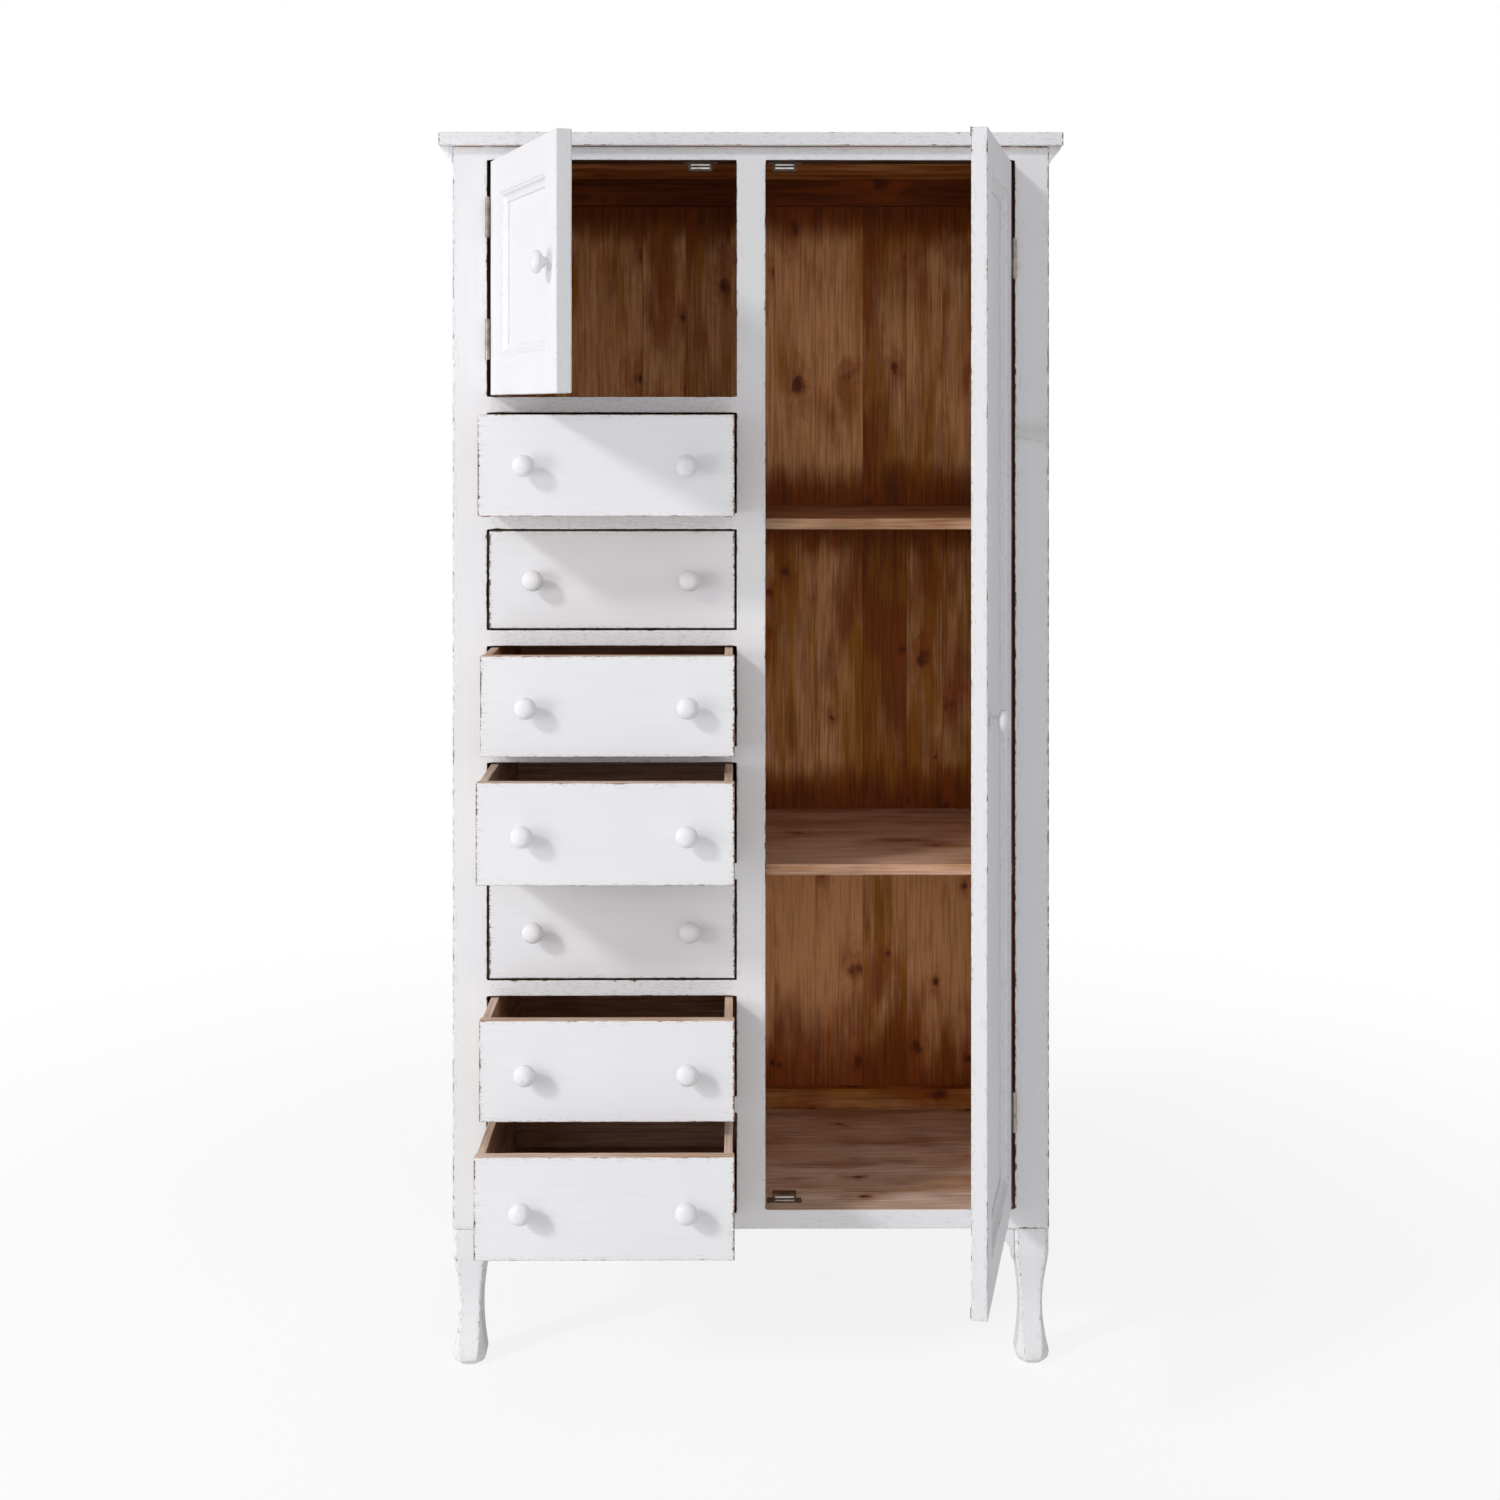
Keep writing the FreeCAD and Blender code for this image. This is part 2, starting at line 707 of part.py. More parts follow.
save("top_board", [top_board()])
save("crown_mouldings", [crown(side) for side in sides])
save("front_post_left", [cut_all(left_post, fixed_screws(small_door))])
save("front_post_right", [cut_all(right_post, fixed_screws(tall_door))])
save("back_posts", back_posts)
save("centre_stile", [centre_stile()])
save("top_rail", [rail_at_top])
rail_levels = [cupboard_bottom, *(drawer_floor(number + 1) for number in range(drawer_count))]
save("drawer_rails", [drawer_rail(level) for level in rail_levels])
save("bay_sill", [bay_sill()])
save("side_rails", [rail for side in sides for rail in side_rails(side)])
save("side_panels", [side_panel(side) for side in sides])
save("back_rails", rails_at_back)
save("back_boards", back_boards())
save("partition", [partition([rail_at_top, *rails_at_back])])
bay_floor_xs = (partition_x[1], right_x - side_frame_thickness)
save("bay_floor", [floor_board(bay_floor_xs, bay_bottom, [*all_posts, *rails_at_back])])
save("cupboard_floor", [floor_board((-panel_inner_x, partition_x[0]), cupboard_bottom, all_posts)])
save("upper_shelf", [shelf(upper_shelf_height, all_posts)])
save("lower_shelf", [shelf(lower_shelf_height, all_posts)])
save("shelf_cleats", [cleat for level in shelf_levels for cleat in shelf_cleats(level)])
numbers = range(1, drawer_count + 1)
runners = [drawer_runner(number, side) for number in numbers for side in sides]
save("drawer_runners", [piece for runner in runners for piece in runner])
save("feet", [foot(side, back) for back in (False, True) for side in sides])
save("knee_brackets", [knee_bracket(side) for side in sides])
save("catch_cases", [case for case, poles in catches])
save("catch_poles", [pole for case, poles in catches for pole in poles])
save("frame_hinges", [shape for door in doors for shape in fixed_hinges(door)])
for door in doors:
    for node, shapes in door_nodes(door).items():
        save(f"{door.name}_{node}", shapes)
for number, pull in zip(numbers, drawer_pulls):
    for node, shapes in drawer(number, pull).items():
        save(f"drawer_{number}_{node}", shapes)
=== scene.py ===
import json
import math
from collections import namedtuple

import bmesh
import bpy
import numpy as np
from mathutils import Matrix, Vector


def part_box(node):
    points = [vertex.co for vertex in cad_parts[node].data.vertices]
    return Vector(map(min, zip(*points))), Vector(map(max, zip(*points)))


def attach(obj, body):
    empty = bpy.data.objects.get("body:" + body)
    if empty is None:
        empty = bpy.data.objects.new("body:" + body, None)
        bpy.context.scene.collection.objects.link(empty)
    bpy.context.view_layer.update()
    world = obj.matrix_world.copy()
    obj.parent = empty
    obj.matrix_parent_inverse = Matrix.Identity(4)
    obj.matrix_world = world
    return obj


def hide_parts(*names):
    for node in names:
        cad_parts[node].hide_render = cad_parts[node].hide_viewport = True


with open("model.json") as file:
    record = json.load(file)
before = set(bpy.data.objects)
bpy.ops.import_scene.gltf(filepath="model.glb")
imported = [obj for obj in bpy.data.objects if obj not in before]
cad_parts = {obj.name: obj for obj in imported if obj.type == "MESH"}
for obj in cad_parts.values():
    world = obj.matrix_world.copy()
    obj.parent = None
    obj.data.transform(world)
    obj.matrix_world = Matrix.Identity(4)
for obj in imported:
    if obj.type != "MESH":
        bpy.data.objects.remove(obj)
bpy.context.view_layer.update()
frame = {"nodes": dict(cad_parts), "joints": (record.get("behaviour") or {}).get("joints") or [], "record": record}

# Painted bonnetiere cabinet: the CAD boards are dressed as hand-rubbed painted boards and knotty pine.
# Boards are made with doors and drawers closed, then moved to where the CAD stores them.

# Camera, fitted to the photograph
camera_place = (-0.0159, -3.1339, 1.4361)
camera_turn_deg = -0.28
camera_lens = 46.26
camera_shift = -0.2267

# Light: a soft sun from the upper left, a wide lamp at the left and a sky with a strength for each side
key_towards = (1.45, 1.0, -1.12)
key_strength = 1.2
key_spread_deg = 8.0
lamp_place = (-2.2, -1.6, 1.2)
lamp_aim = (0.0, -0.3, 1.0)
lamp_size = 1.2
lamp_level = 0.88
sky_levels = {("X", 1): 0.25, ("Y", -1): 1.06, ("Y", 1): 0.7, ("Z", 1): 0.2}
floor_size = 60.0
floor_white_share = 0.85
floor_fade = (0.6, 2.5)
key_place = (-3, -3, 4)
sensor_width = 36.0

# Boards
touch = 0.001
panel_depth = 0.02
paint_rounding = 0.0019
pine_rounding = 0.0013
paint_step = 0.016
pine_step = 0.045
rounding_share = 0.24
rounding_least_share = 0.5
glued_rounding_share = 0.005
rounding_mark_shares = (0.0, 0.4, 1.0, 1.6)
edge_band = 0.007
wander_waves = (0.21, 0.11, 0.06, 0.034)
wander_spread = 6
grain_spread = 20
side_shift = 0.61
smooth_angle_deg = 55
joint_gap = 0.0006
beside_joint = 0.002
untouched = 0.05
board_overlap = 0.0002
spike_knot_height = 1.405
# Painted shade inside: how far it reaches from each shelf, floor and rail
corner_shade_reach = {"back_rails": 0.1, "upper_shelf": 0.11, "lower_shelf": 0.11, "bay_floor": 0.3}
bay_tones = (1.2, -0.8, 0.0)
cupboard_tone = 0.2
# Painted shade on the lower and upper back rails
rail_corner_shades = (0.3, 1.0)
knob_patch_rub = -0.0015
knob_patch_slope = 0.22
knob_patch_aside = 0.012

# Eased copies: merging distance, widest flat bend and the bend from which an edge is worn
merge_gap = 1e-6
flat_bend_deg = 0.5
worn_bend_deg = 24
foot_bend_deg = 36
moulding_ease = 0.0006
moulding_row = 0.03
moulding_least_rub = 0.0045
uncut = 1

# Turned knobs: the outline gives radius and length as shares, from the collar to the tip
knob_shares = (
    (0.54, 0.0), (0.56, 0.03), (0.56, 0.08), (0.5, 0.11), (0.4, 0.14), (0.37, 0.2), (0.39, 0.26),
    (0.46, 0.29), (0.5, 0.31), (0.5, 0.34), (0.46, 0.36), (0.47, 0.39), (0.62, 0.42), (0.82, 0.47),
    (0.94, 0.54), (0.99, 0.61), (1.0, 0.67), (0.97, 0.73), (0.9, 0.8), (0.78, 0.87), (0.62, 0.93),
    (0.44, 0.97), (0.24, 0.992), (0.0, 1.0),
)
knob_turns = 40
knob_rub = 0.0042
knob_rub_slope = 0.004
knob_waist_share = 0.65
knob_tip_rub = 0.006
ring_pitch = 0.002

# Drawer boxes
box_side = 0.012
box_bottom_rise = 0.008
box_bottom = 0.006
box_back_height = 0.118

# Seeds: the first one of each kind of piece, and the steps between boards and between pieces
first_seeds = {
    "painted": 0, "eased": 40, "pine": 60, "doors": 200, "door_mouldings": 230, "door_knobs": 300,
    "drawer_fronts": 400, "drawer_boxes": 500, "drawer_knobs": 600,
}
board_seeds = 100
door_seeds = 20
drawer_seeds = 10

# Nails and screws
nail_radius = 0.0021
nail_height = 0.0006
screw_radius = 0.0031
screw_height = 0.0007
screw_slot = 0.0009
flange_thick = 0.0016
flange_screw_reach = 0.022
strike_screw_reach = 0.011
screw_sunk_share = 0.85
head_top_share = 0.78
head_corners = 14
slot_length_share = 3
nail_shares = (0.22, 0.78)
fastener_seed = 7

Surface = namedtuple("Surface", "points faces uvs rub finish")
SIDES = {(0, 0): "-x", (0, -1): "+x", (1, 0): "-y", (1, -1): "+y", (2, 0): "-z", (2, -1): "+z"}


# Shader nodes


class Value:
    """A node socket that takes part in Python sums."""

    def __init__(self, tree, socket):
        self.tree = tree
        self.socket = socket

    def math(self, operation, *values):
        return self.tree.node("ShaderNodeMath", {"operation": operation}, dict(enumerate(values)))

    def __add__(self, other):
        return self.math("ADD", self, other)

    __radd__ = __add__

    def __sub__(self, other):
        return self.math("SUBTRACT", self, other)

    def __rsub__(self, other):
        return self.math("SUBTRACT", other, self)

    def __mul__(self, other):
        return self.math("MULTIPLY", self, other)

    __rmul__ = __mul__

    def __truediv__(self, other):
        return self.math("DIVIDE", self, other)

    def __rtruediv__(self, other):
        return self.math("DIVIDE", other, self)

    def root(self):
        return self.math("SQRT", self)

    def most(self, other):
        return self.math("MAXIMUM", self, other)

    def ramp(self, low, high):
        """0 at low and 1 at high, eased between them."""
        limits = {"Value": self, "From Min": low, "From Max": high}
        return self.tree.node("ShaderNodeMapRange", {"interpolation_type": "SMOOTHSTEP"}, limits)

    def hill(self, width):
        """1 where the value is 0, falling to 0 at width on both sides."""
        return 1 - self.math("ABSOLUTE", self).ramp(0, width)


class Tree:
    """A node tree that is written as calls."""

    def __init__(self, node_tree):
        self.nodes = node_tree.nodes
        self.links = node_tree.links

    def node(self, kind, settings=(), sockets=(), out=0):
        made = self.nodes.new(kind)
        for name, value in dict(settings).items():
            if name == "stops":
                self.set_stops(made.color_ramp, value)
            else:
                setattr(made, name, value)
        for name, value in dict(sockets).items():
            self.feed(made.inputs[name], value)
        return Value(self, made.outputs[out])

    def set_stops(self, ramp, stops):
        while len(ramp.elements) < len(stops):
            ramp.elements.new(0.5)
        for element, (place, colour) in zip(ramp.elements, stops):
            element.position = place
            element.color = (*colour, 1)

    def feed(self, socket, value):
        if isinstance(value, Value):
            self.links.new(value.socket, socket)
        else:
            socket.default_value = value

    def stretch(self, vector, along, across, depth=1.0):
        return self.node("ShaderNodeMapping", (), {"Vector": vector, "Scale": (along, across, depth)})

    def noise(self, vector, detail=2.0, scale=1.0, roughness=0.5):
        sockets = {"Vector": vector, "Scale": scale, "Detail": detail, "Roughness": roughness}
        return self.node("ShaderNodeTexNoise", (), sockets)

    def mix(self, first, second, share):
        sockets = {0: share, 6: first, 7: second}
        return self.node("ShaderNodeMix", {"data_type": "RGBA"}, sockets, out=2)

    def ramp_colour(self, value, stops):
        return self.node("ShaderNodeValToRGB", {"stops": stops}, {"Fac": value})


def rgb(red, green, blue):
    return (red, green, blue, 1.0)


def new_finish(name, **constants):
    """Material with its tree and its Principled shader, and the shader's constant sockets set."""
    material = bpy.data.materials.new(name)
    material.use_nodes = True
    tree = Tree(material.node_tree)
    shader = tree.nodes["Principled BSDF"]
    for socket, value in constants.items():
        shader.inputs[socket.replace("_", " ")].default_value = value
    return material, tree, shader


def white_paint():
    """Brushed white paint, rubbed thin and chipped to the wood along the edges."""
    material, tree, shader = new_finish("white_paint", Specular_IOR_Level=0.3)
    grain = tree.node("ShaderNodeUVMap", {"uv_map": "grain"})
    place = tree.node("ShaderNodeTexCoord", out="Object")
    rub = tree.node("ShaderNodeAttribute", {"attribute_name": "rub"}, out="Fac")
    across, depth, height = (
        tree.node("ShaderNodeSeparateXYZ", (), {"Vector": place}, out=axis) for axis in ("X", "Y", "Z")
    )
    strokes = tree.noise(tree.stretch(grain, 7, 430), 3)
    sweeps = tree.noise(tree.stretch(grain, 3.5, 120), 4)
    pores = tree.noise(tree.stretch(grain, 9, 620), 2).ramp(0.6, 0.78)
    cloud = tree.noise(place, 2, 5.0)
    streak = tree.noise(tree.stretch(grain, 45, 330), 3)
    chips = tree.noise(place, 4, 105.0)
    patch = tree.noise(place, 2, 9.0)
    worn = chips * 0.65 + streak * 0.6 + patch * 0.35 - rub / 0.011
    bare = worn.ramp(0.83, 0.88)
    thin = worn.ramp(0.64, 0.86)
    fringe = (1 - rub / 0.0085).most(0)
    flecks = tree.noise(tree.stretch(grain, 120, 420), 3).ramp(0.54, 0.66) * fringe * fringe
    ticks = streak.ramp(0.56, 0.68) * (1 - rub / 0.013).most(0)
    speck = tree.noise(tree.stretch(grain, 30, 110), 2).ramp(0.79, 0.82) * patch.ramp(0.5, 0.65)
    brushed = strokes * 0.35 + sweeps * 0.3 + cloud * 0.35
    white = tree.mix(rgb(0.78, 0.78, 0.812), rgb(0.92, 0.916, 0.937), brushed)
    white = tree.mix(white, rgb(0.62, 0.61, 0.6), pores * 0.14)
    white = tree.mix(white, rgb(0.46, 0.45, 0.43), (thin * 0.4).most(ticks * 0.4).most(flecks * 0.85))
    on_post = across.ramp(0.385, 0.402) * (1 - depth.ramp(-0.19, -0.174))
    spike = (height - spike_knot_height).hill(0.026) * on_post
    cracks = tree.noise(tree.stretch(place, 34, 34, 190), 4).ramp(0.52, 0.66)
    white = tree.mix(white, rgb(0.62, 0.64, 0.56), spike * 0.5)
    white = tree.mix(white, rgb(0.26, 0.26, 0.22), spike * cracks * chips.ramp(0.4, 0.6) * 0.75)
    tone = tree.noise(tree.stretch(grain, 24, 160), 2)
    bare_stops = ((0.32, (0.055, 0.048, 0.042)), (0.5, (0.14, 0.125, 0.11)), (0.68, (0.36, 0.33, 0.3)))
    wood = tree.ramp_colour(tone, bare_stops)
    colour = tree.mix(white, wood, bare.most(speck * 0.6))
    relief = strokes * 0.12 - bare - pores * 0.2
    bump = tree.node("ShaderNodeBump", (), {"Strength": 0.35, "Distance": 0.0005, "Height": relief})
    tree.feed(shader.inputs["Base Color"], colour)
    tree.feed(shader.inputs["Roughness"], 0.5 + strokes * 0.12 + bare * 0.2)
    tree.feed(shader.inputs["Normal"], bump)
    return material


def knotty_pine(name, golden, rosy, red, dark, knot, knots, on_object=False):
    """Pine with hazy streaks along the grain, the first coordinate, soft red-brown knots, and painted shade that
    darkens and reddens it in the inside corners.
    """
    material, tree, shader = new_finish(name, Specular_IOR_Level=0.16)
    if on_object:
        place = tree.node("ShaderNodeTexCoord", out="Object")
        turn = {"Vector": place, "Rotation": (0, 0, math.pi / 2)}
        grain = tree.node("ShaderNodeMapping", (), turn)
    else:
        grain = tree.node("ShaderNodeUVMap", {"uv_map": "grain"})
    shade = tree.node("ShaderNodeAttribute", {"attribute_name": "tone"}, out="Fac")
    pool = tree.node("ShaderNodeAttribute", {"attribute_name": "pool"}, out="Fac")
    haze = tree.noise(tree.stretch(grain, 3, 15), 4)
    streak = tree.noise(tree.stretch(grain, 6, 70), 4)
    lines = tree.noise(tree.stretch(grain, 8, 250), 3)
    fibre = tree.noise(tree.stretch(grain, 12, 620), 3)
    warmth = tree.noise(tree.stretch(grain, 5, 14), 4)
    flames = tree.noise(tree.stretch(grain, 7, 24), 3)
    # Painted shade: darker, redder pine beside shelves, floors and rails, frayed into flame shapes
    corner_shading = (pool + flames * 0.9 - 0.45).ramp(0.2, 0.9)
    rosiness = haze * 0.75 + streak * 0.45 + shade * 0.1 - corner_shading * 0.16
    colour = tree.mix(golden, rosy, rosiness.ramp(0.49, 0.71))
    stained = (warmth - shade * 0.05).ramp(0.46, 0.68) * 0.75
    colour = tree.mix(colour, red, stained.most(corner_shading * 0.92))
    depth = (fibre * 0.45 + lines * 0.5 + streak * 0.3).ramp(0.52, 0.74)
    colour = tree.mix(colour, dark, depth * 0.52 + stained * 0.12 + corner_shading * 0.36 - shade * 0.1)
    core, halo = pine_knots(tree, grain, knots)
    colour = tree.mix(colour, red, halo * 0.8)
    colour = tree.mix(colour, knot, core * (0.8 + lines * 0.3))
    relief = fibre * 0.5 + streak * 0.3 - core * 0.4
    bump = tree.node("ShaderNodeBump", (), {"Strength": 0.22, "Distance": 0.0005, "Height": relief})
    tree.feed(shader.inputs["Base Color"], colour)
    tree.feed(shader.inputs["Roughness"], 0.5 + fibre * 0.16 - core * 0.1)
    tree.feed(shader.inputs["Normal"], bump)
    return material


def pine_knots(tree, grain, knots):
    """Masks of a knot's eye and of the red wood that flows round it."""
    cell_scale = (5.0, 14.0, 1.0)
    scaled = tree.stretch(grain, *cell_scale)
    cell = {"voronoi_dimensions": "2D", "feature": "F1"}
    sockets = {"Vector": scaled, "Scale": 1.0, "Randomness": 0.85}
    middle = tree.node("ShaderNodeTexVoronoi", cell, sockets, out="Position")
    dice = tree.node("ShaderNodeTexVoronoi", cell, sockets, out="Color")
    away = tree.node("ShaderNodeVectorMath", {"operation": "SUBTRACT"}, {0: scaled, 1: middle})
    along = tree.node("ShaderNodeSeparateXYZ", (), {"Vector": away}, out="X") / cell_scale[0]
    across = tree.node("ShaderNodeSeparateXYZ", (), {"Vector": away}, out="Y") / cell_scale[1]
    chance = tree.node("ShaderNodeSeparateColor", (), {"Color": dice}, out="Red")
    present = chance.ramp(1 - knots, 1.005 - knots)
    radius = 0.0055 + tree.node("ShaderNodeSeparateColor", (), {"Color": dice}, out="Green") * 0.0095
    splinters = tree.noise(tree.stretch(grain, 55, 80), 4)
    swirl = tree.noise(tree.stretch(grain, 14, 30), 2)
    ragged = splinters * 2.4 + swirl * 2
    core_reach = (along * along * 0.7 + across * across).root() / radius + ragged
    halo_reach = (along * along * 0.2 + across * across).root() / radius + ragged * 1.5
    core = (1 - core_reach.ramp(2.2, 3.5)) * present
    halo = (1 - halo_reach.ramp(2.6, 6.4)) * present
    return core, halo


def plated_metal(name, bright, tarnish):
    """Plated metal with fine scratches and darker dull spots."""
    material, tree, shader = new_finish(name, Metallic=1.0)
    place = tree.node("ShaderNodeTexCoord", out="Object")
    scratch = tree.noise(tree.stretch(place, 60, 60, 900), 3)
    dull = tree.noise(place, 3, 55.0).ramp(0.45, 0.75)
    tree.feed(shader.inputs["Base Color"], tree.mix(bright, tarnish, dull * 0.7))
    tree.feed(shader.inputs["Roughness"], 0.26 + scratch * 0.14 + dull * 0.22)
    bump = tree.node("ShaderNodeBump", (), {"Strength": 0.15, "Distance": 0.0002, "Height": scratch})
    tree.feed(shader.inputs["Normal"], bump)
    return material


def brown_enamel():
    """Dark brown enamel of the catch cases, dusty and slightly pitted."""
    material, tree, shader = new_finish("brown_enamel")
    place = tree.node("ShaderNodeTexCoord", out="Object")
    dust = tree.noise(place, 3, 90.0)
    brown = tree.mix(rgb(0.09, 0.055, 0.035), rgb(0.2, 0.14, 0.1), dust.ramp(0.4, 0.8))
    tree.feed(shader.inputs["Base Color"], brown)
    tree.feed(shader.inputs["Roughness"], 0.3 + dust * 0.25)
    bump = tree.node("ShaderNodeBump", (), {"Strength": 0.2, "Distance": 0.0002, "Height": dust})
    tree.feed(shader.inputs["Normal"], bump)
    return material


# Bodies and solids of the frame

bodies = frame["record"]["behaviour"]["bodies"]
body_of = {node: body for body, nodes in bodies.items() for node in nodes}


def closing_moves():
    """For each body, the move from where the CAD stores it to closed."""
    moves = {body: Matrix.Identity(4) for body in bodies}
    for joint in frame["joints"]:
        axis = Vector(joint["axis"])
        if joint["type"] == "hinge":
            pivot = Matrix.Translation(joint["pos_m"])
            turn = Matrix.Rotation(math.radians(joint["range_deg"][0]), 4, axis)
            moves[joint["child"]] = pivot @ turn @ pivot.inverted()
        else:
            moves[joint["child"]] = Matrix.Translation(axis * joint["range_m"][0])
    return moves


closing = closing_moves()


def moved(points, matrix):
    turn = np.array(matrix.to_3x3())
    return points @ turn.T + np.array(matrix.translation)


def closed_points(node):
    """Vertices of a CAD node with its body closed."""
    vertices = frame["nodes"][node].data.vertices
    points = np.empty(len(vertices) * 3)
    vertices.foreach_get("co", points)
    return moved(points.reshape(-1, 3), closing[body_of[node]])


def solid_boxes(node):
    """(low, high) corners of each separate solid of a CAD node, with its body closed."""
    points = closed_points(node)
    loops = frame["nodes"][node].data.loops
    corners = np.empty(len(loops), np.int64)
    loops.foreach_get("vertex_index", corners)
    spots, same = np.unique(np.round(points * 1e5).astype(np.int64), axis=0, return_inverse=True)
    triangles = same.reshape(-1)[corners].reshape(-1, 3)
    label = np.arange(len(spots))
    settled = False
    while not settled:
        before = label.copy()
        np.minimum.at(label, triangles.ravel(), label[triangles].min(1).repeat(3))
        label = label[label]
        settled = np.array_equal(before, label)
    own = label[same.reshape(-1)]
    groups = [points[own == root] for root in np.unique(own)]
    return sorted(((g.min(0), g.max(0)) for g in groups), key=lambda b: (b[0][2], b[0][0], b[0][1]))


# Surfaces


def uneven(points, seed):
    """Smooth wander between 0 and 1 over points."""
    dice = np.random.default_rng(seed)
    total = np.zeros(len(points))
    for wave in wander_waves:
        heading = dice.normal(size=3)
        heading /= np.linalg.norm(heading)
        total += np.sin(points @ heading * 2 * math.pi / wave + dice.uniform(0, 2 * math.pi))
    return np.clip(0.5 + total / wander_spread, 0, 1)


def box_gap(points, low, high):
    """Distance from each point to a box."""
    return np.linalg.norm(np.maximum(np.maximum(low - points, points - high), 0), axis=1)


def touching(low, high, boxes):
    """The boxes that touch a board, without the board itself."""
    near = []
    for other_low, other_high in boxes:
        apart = np.linalg.norm(np.maximum(np.maximum(other_low - high, low - other_high), 0))
        same = np.allclose(low, other_low) and np.allclose(high, other_high)
        if apart < joint_gap and not same:
            near.append((other_low, other_high))
    return near


def board_marks(extent, rounding, step, stops):
    """Grid lines along one side of a board, close together near its ends and beside its joints."""
    edge = [share * rounding for share in rounding_mark_shares]
    if extent > 2 * edge_band + step:
        edge.append(edge_band)
    inner = extent - 2 * edge[-1]
    count = max(1, round(inner / step))
    marks = edge + [extent - e for e in edge]
    marks += [edge[-1] + inner * k / count for k in range(1, count)]
    for stop in stops:
        beside = (stop - beside_joint, stop, stop + beside_joint)
        marks += [mark for mark in beside if edge[-1] < mark < extent - edge[-1]]
    return np.unique(np.round(marks, 5))


def edge_wear(grid, low, size, joints, rounding, ease):
    """Distance of grid points to the nearest free edge of a board, and which points lie at a joint."""
    edges = np.full((len(grid), 3), untouched)
    glued = np.zeros(len(grid), bool)
    for axis in range(3):
        for side in (0.0, size[axis]):
            gap = np.abs(grid[:, axis] - side)
            foot = grid + low
            foot[:, axis] = side + low[axis]
            joined = np.zeros(len(grid), bool)
            for box in joints:
                joined |= box_gap(foot, *box) < joint_gap
            free = np.where(joined & (gap > 0), untouched, gap)
            edges[:, axis] = np.minimum(edges[:, axis], free)
            glued |= joined & (gap < 2 * rounding)
    nearest = np.argsort(edges, axis=1, kind="stable")[:, 1]
    rub = edges[np.arange(len(grid)), nearest] + ease[nearest]
    on_edge = (edges == 0).sum(1) > 1
    rub[on_edge] = ((edges[on_edge] == 0) * ease).sum(1)
    rub[glued] = untouched
    return rub, glued


def board(low, high, grain, seed, rounding, step, finish_of, joints=(), ease=(0, 0, 0)):
    """Board between two corners with unevenly rounded edges, left sharp and unrubbed at its joints.

    finish_of gives the finish of a side, 1 if it has none. ease holds wear back at the ends of each axis.
    """
    size = high - low
    rounding = min(rounding, size.min() * rounding_share)
    stops = [[corner[a] - low[a] for box in joints for corner in box] for a in range(3)]
    marks = [board_marks(size[a], rounding, step, stops[a]) for a in range(3)]
    index = np.full([len(m) for m in marks], -1)
    shell = np.zeros(index.shape, bool)
    for axis in range(3):
        for end in (0, -1):
            np.moveaxis(shell, axis, 0)[end] = True
    index[shell] = np.arange(shell.sum())
    grid = np.stack(np.meshgrid(*marks, indexing="ij"), -1)[shell]
    rub, glued = edge_wear(grid, low, size, joints, rounding, np.array(ease))
    wander = rounding_least_share + (1 - rounding_least_share) * uneven(grid + low, seed)
    reach = (rounding * np.where(glued, glued_rounding_share, wander))[:, None]
    core = np.clip(grid, reach, size - reach)
    out = grid - core
    points = low + core + out / np.linalg.norm(out, axis=1, keepdims=True) * reach
    dice = np.random.default_rng(seed)
    shift = dice.uniform(0, grain_spread, 2)
    faces, uvs, finish = [], [], []
    for axis in range(3):
        rest = [a for a in range(3) if a != axis]
        along = grain if grain != axis else rest[0]
        across = next(a for a in rest if a != along)
        for end in (0, -1):
            sheet = np.moveaxis(index, axis, 0)[end]
            corners = (sheet[:-1, :-1], sheet[1:, :-1], sheet[1:, 1:], sheet[:-1, 1:])
            quads = np.stack(corners, -1).reshape(-1, 4)
            if (axis == 1) == (end == -1):
                quads = quads[:, ::-1]
            flat = (grid + low)[quads]
            across_shift = shift[1] + side_shift * (2 * axis + end)
            uv = np.stack([flat[..., along] + shift[0], flat[..., across] + across_shift], -1)
            faces.append(quads)
            uvs.append(uv.reshape(-1, 2))
            finish += [finish_of.get(SIDES[axis, end], 1)] * len(quads)
    return Surface(points, np.concatenate(faces).tolist(), np.concatenate(uvs), rub, finish)


def turned_knob(centre, radius, front, tip, seed):
    """Turned knob on the front plane: collar, ringed neck and domed head."""
    length = front - tip
    angles = np.arange(knob_turns) * 2 * math.pi / knob_turns
    steps = np.hypot(*np.diff(np.array(knob_shares) * (radius, length), axis=0).T)
    runs = np.concatenate(([0], np.cumsum(steps)))
    points, rub = [], []
    for out, rise in knob_shares[:-1]:
        for angle in angles:
            x = centre[0] + radius * out * math.cos(angle)
            z = centre[2] + radius * out * math.sin(angle)
            points.append((x, front - length * rise, z))
            rub.append(knob_rub + knob_rub_slope * abs(rise - knob_waist_share))
    points.append((centre[0], tip, centre[2]))
    rub.append(knob_tip_rub)
    dice = np.random.default_rng(seed)
    shift = dice.uniform(0, grain_spread, 2)
    faces, uvs = [], []
    rows = len(knob_shares) - 1
    for row in range(rows):
        for k in range(knob_turns):
            after = (k + 1) % knob_turns
            low, high = row * knob_turns, (row + 1) * knob_turns
            if row < rows - 1:
                face = [low + k, low + after, high + after, high + k]
                corners = ((k, row), (k + 1, row), (k + 1, row + 1), (k, row + 1))
            else:
                face = [low + k, low + after, len(points) - 1]
                corners = ((k, row), (k + 1, row), (k + 0.5, row + 1))
            faces.append(face)
            uvs += [(turn * ring_pitch + shift[0], runs[spot] + shift[1]) for turn, spot in corners]
    base = list(range(knob_turns))[::-1]
    faces.append(base)
    uvs += [(k * ring_pitch + shift[0], shift[1]) for k in base]
    return Surface(np.array(points), faces, np.array(uvs), np.array(rub), [0] * len(faces))


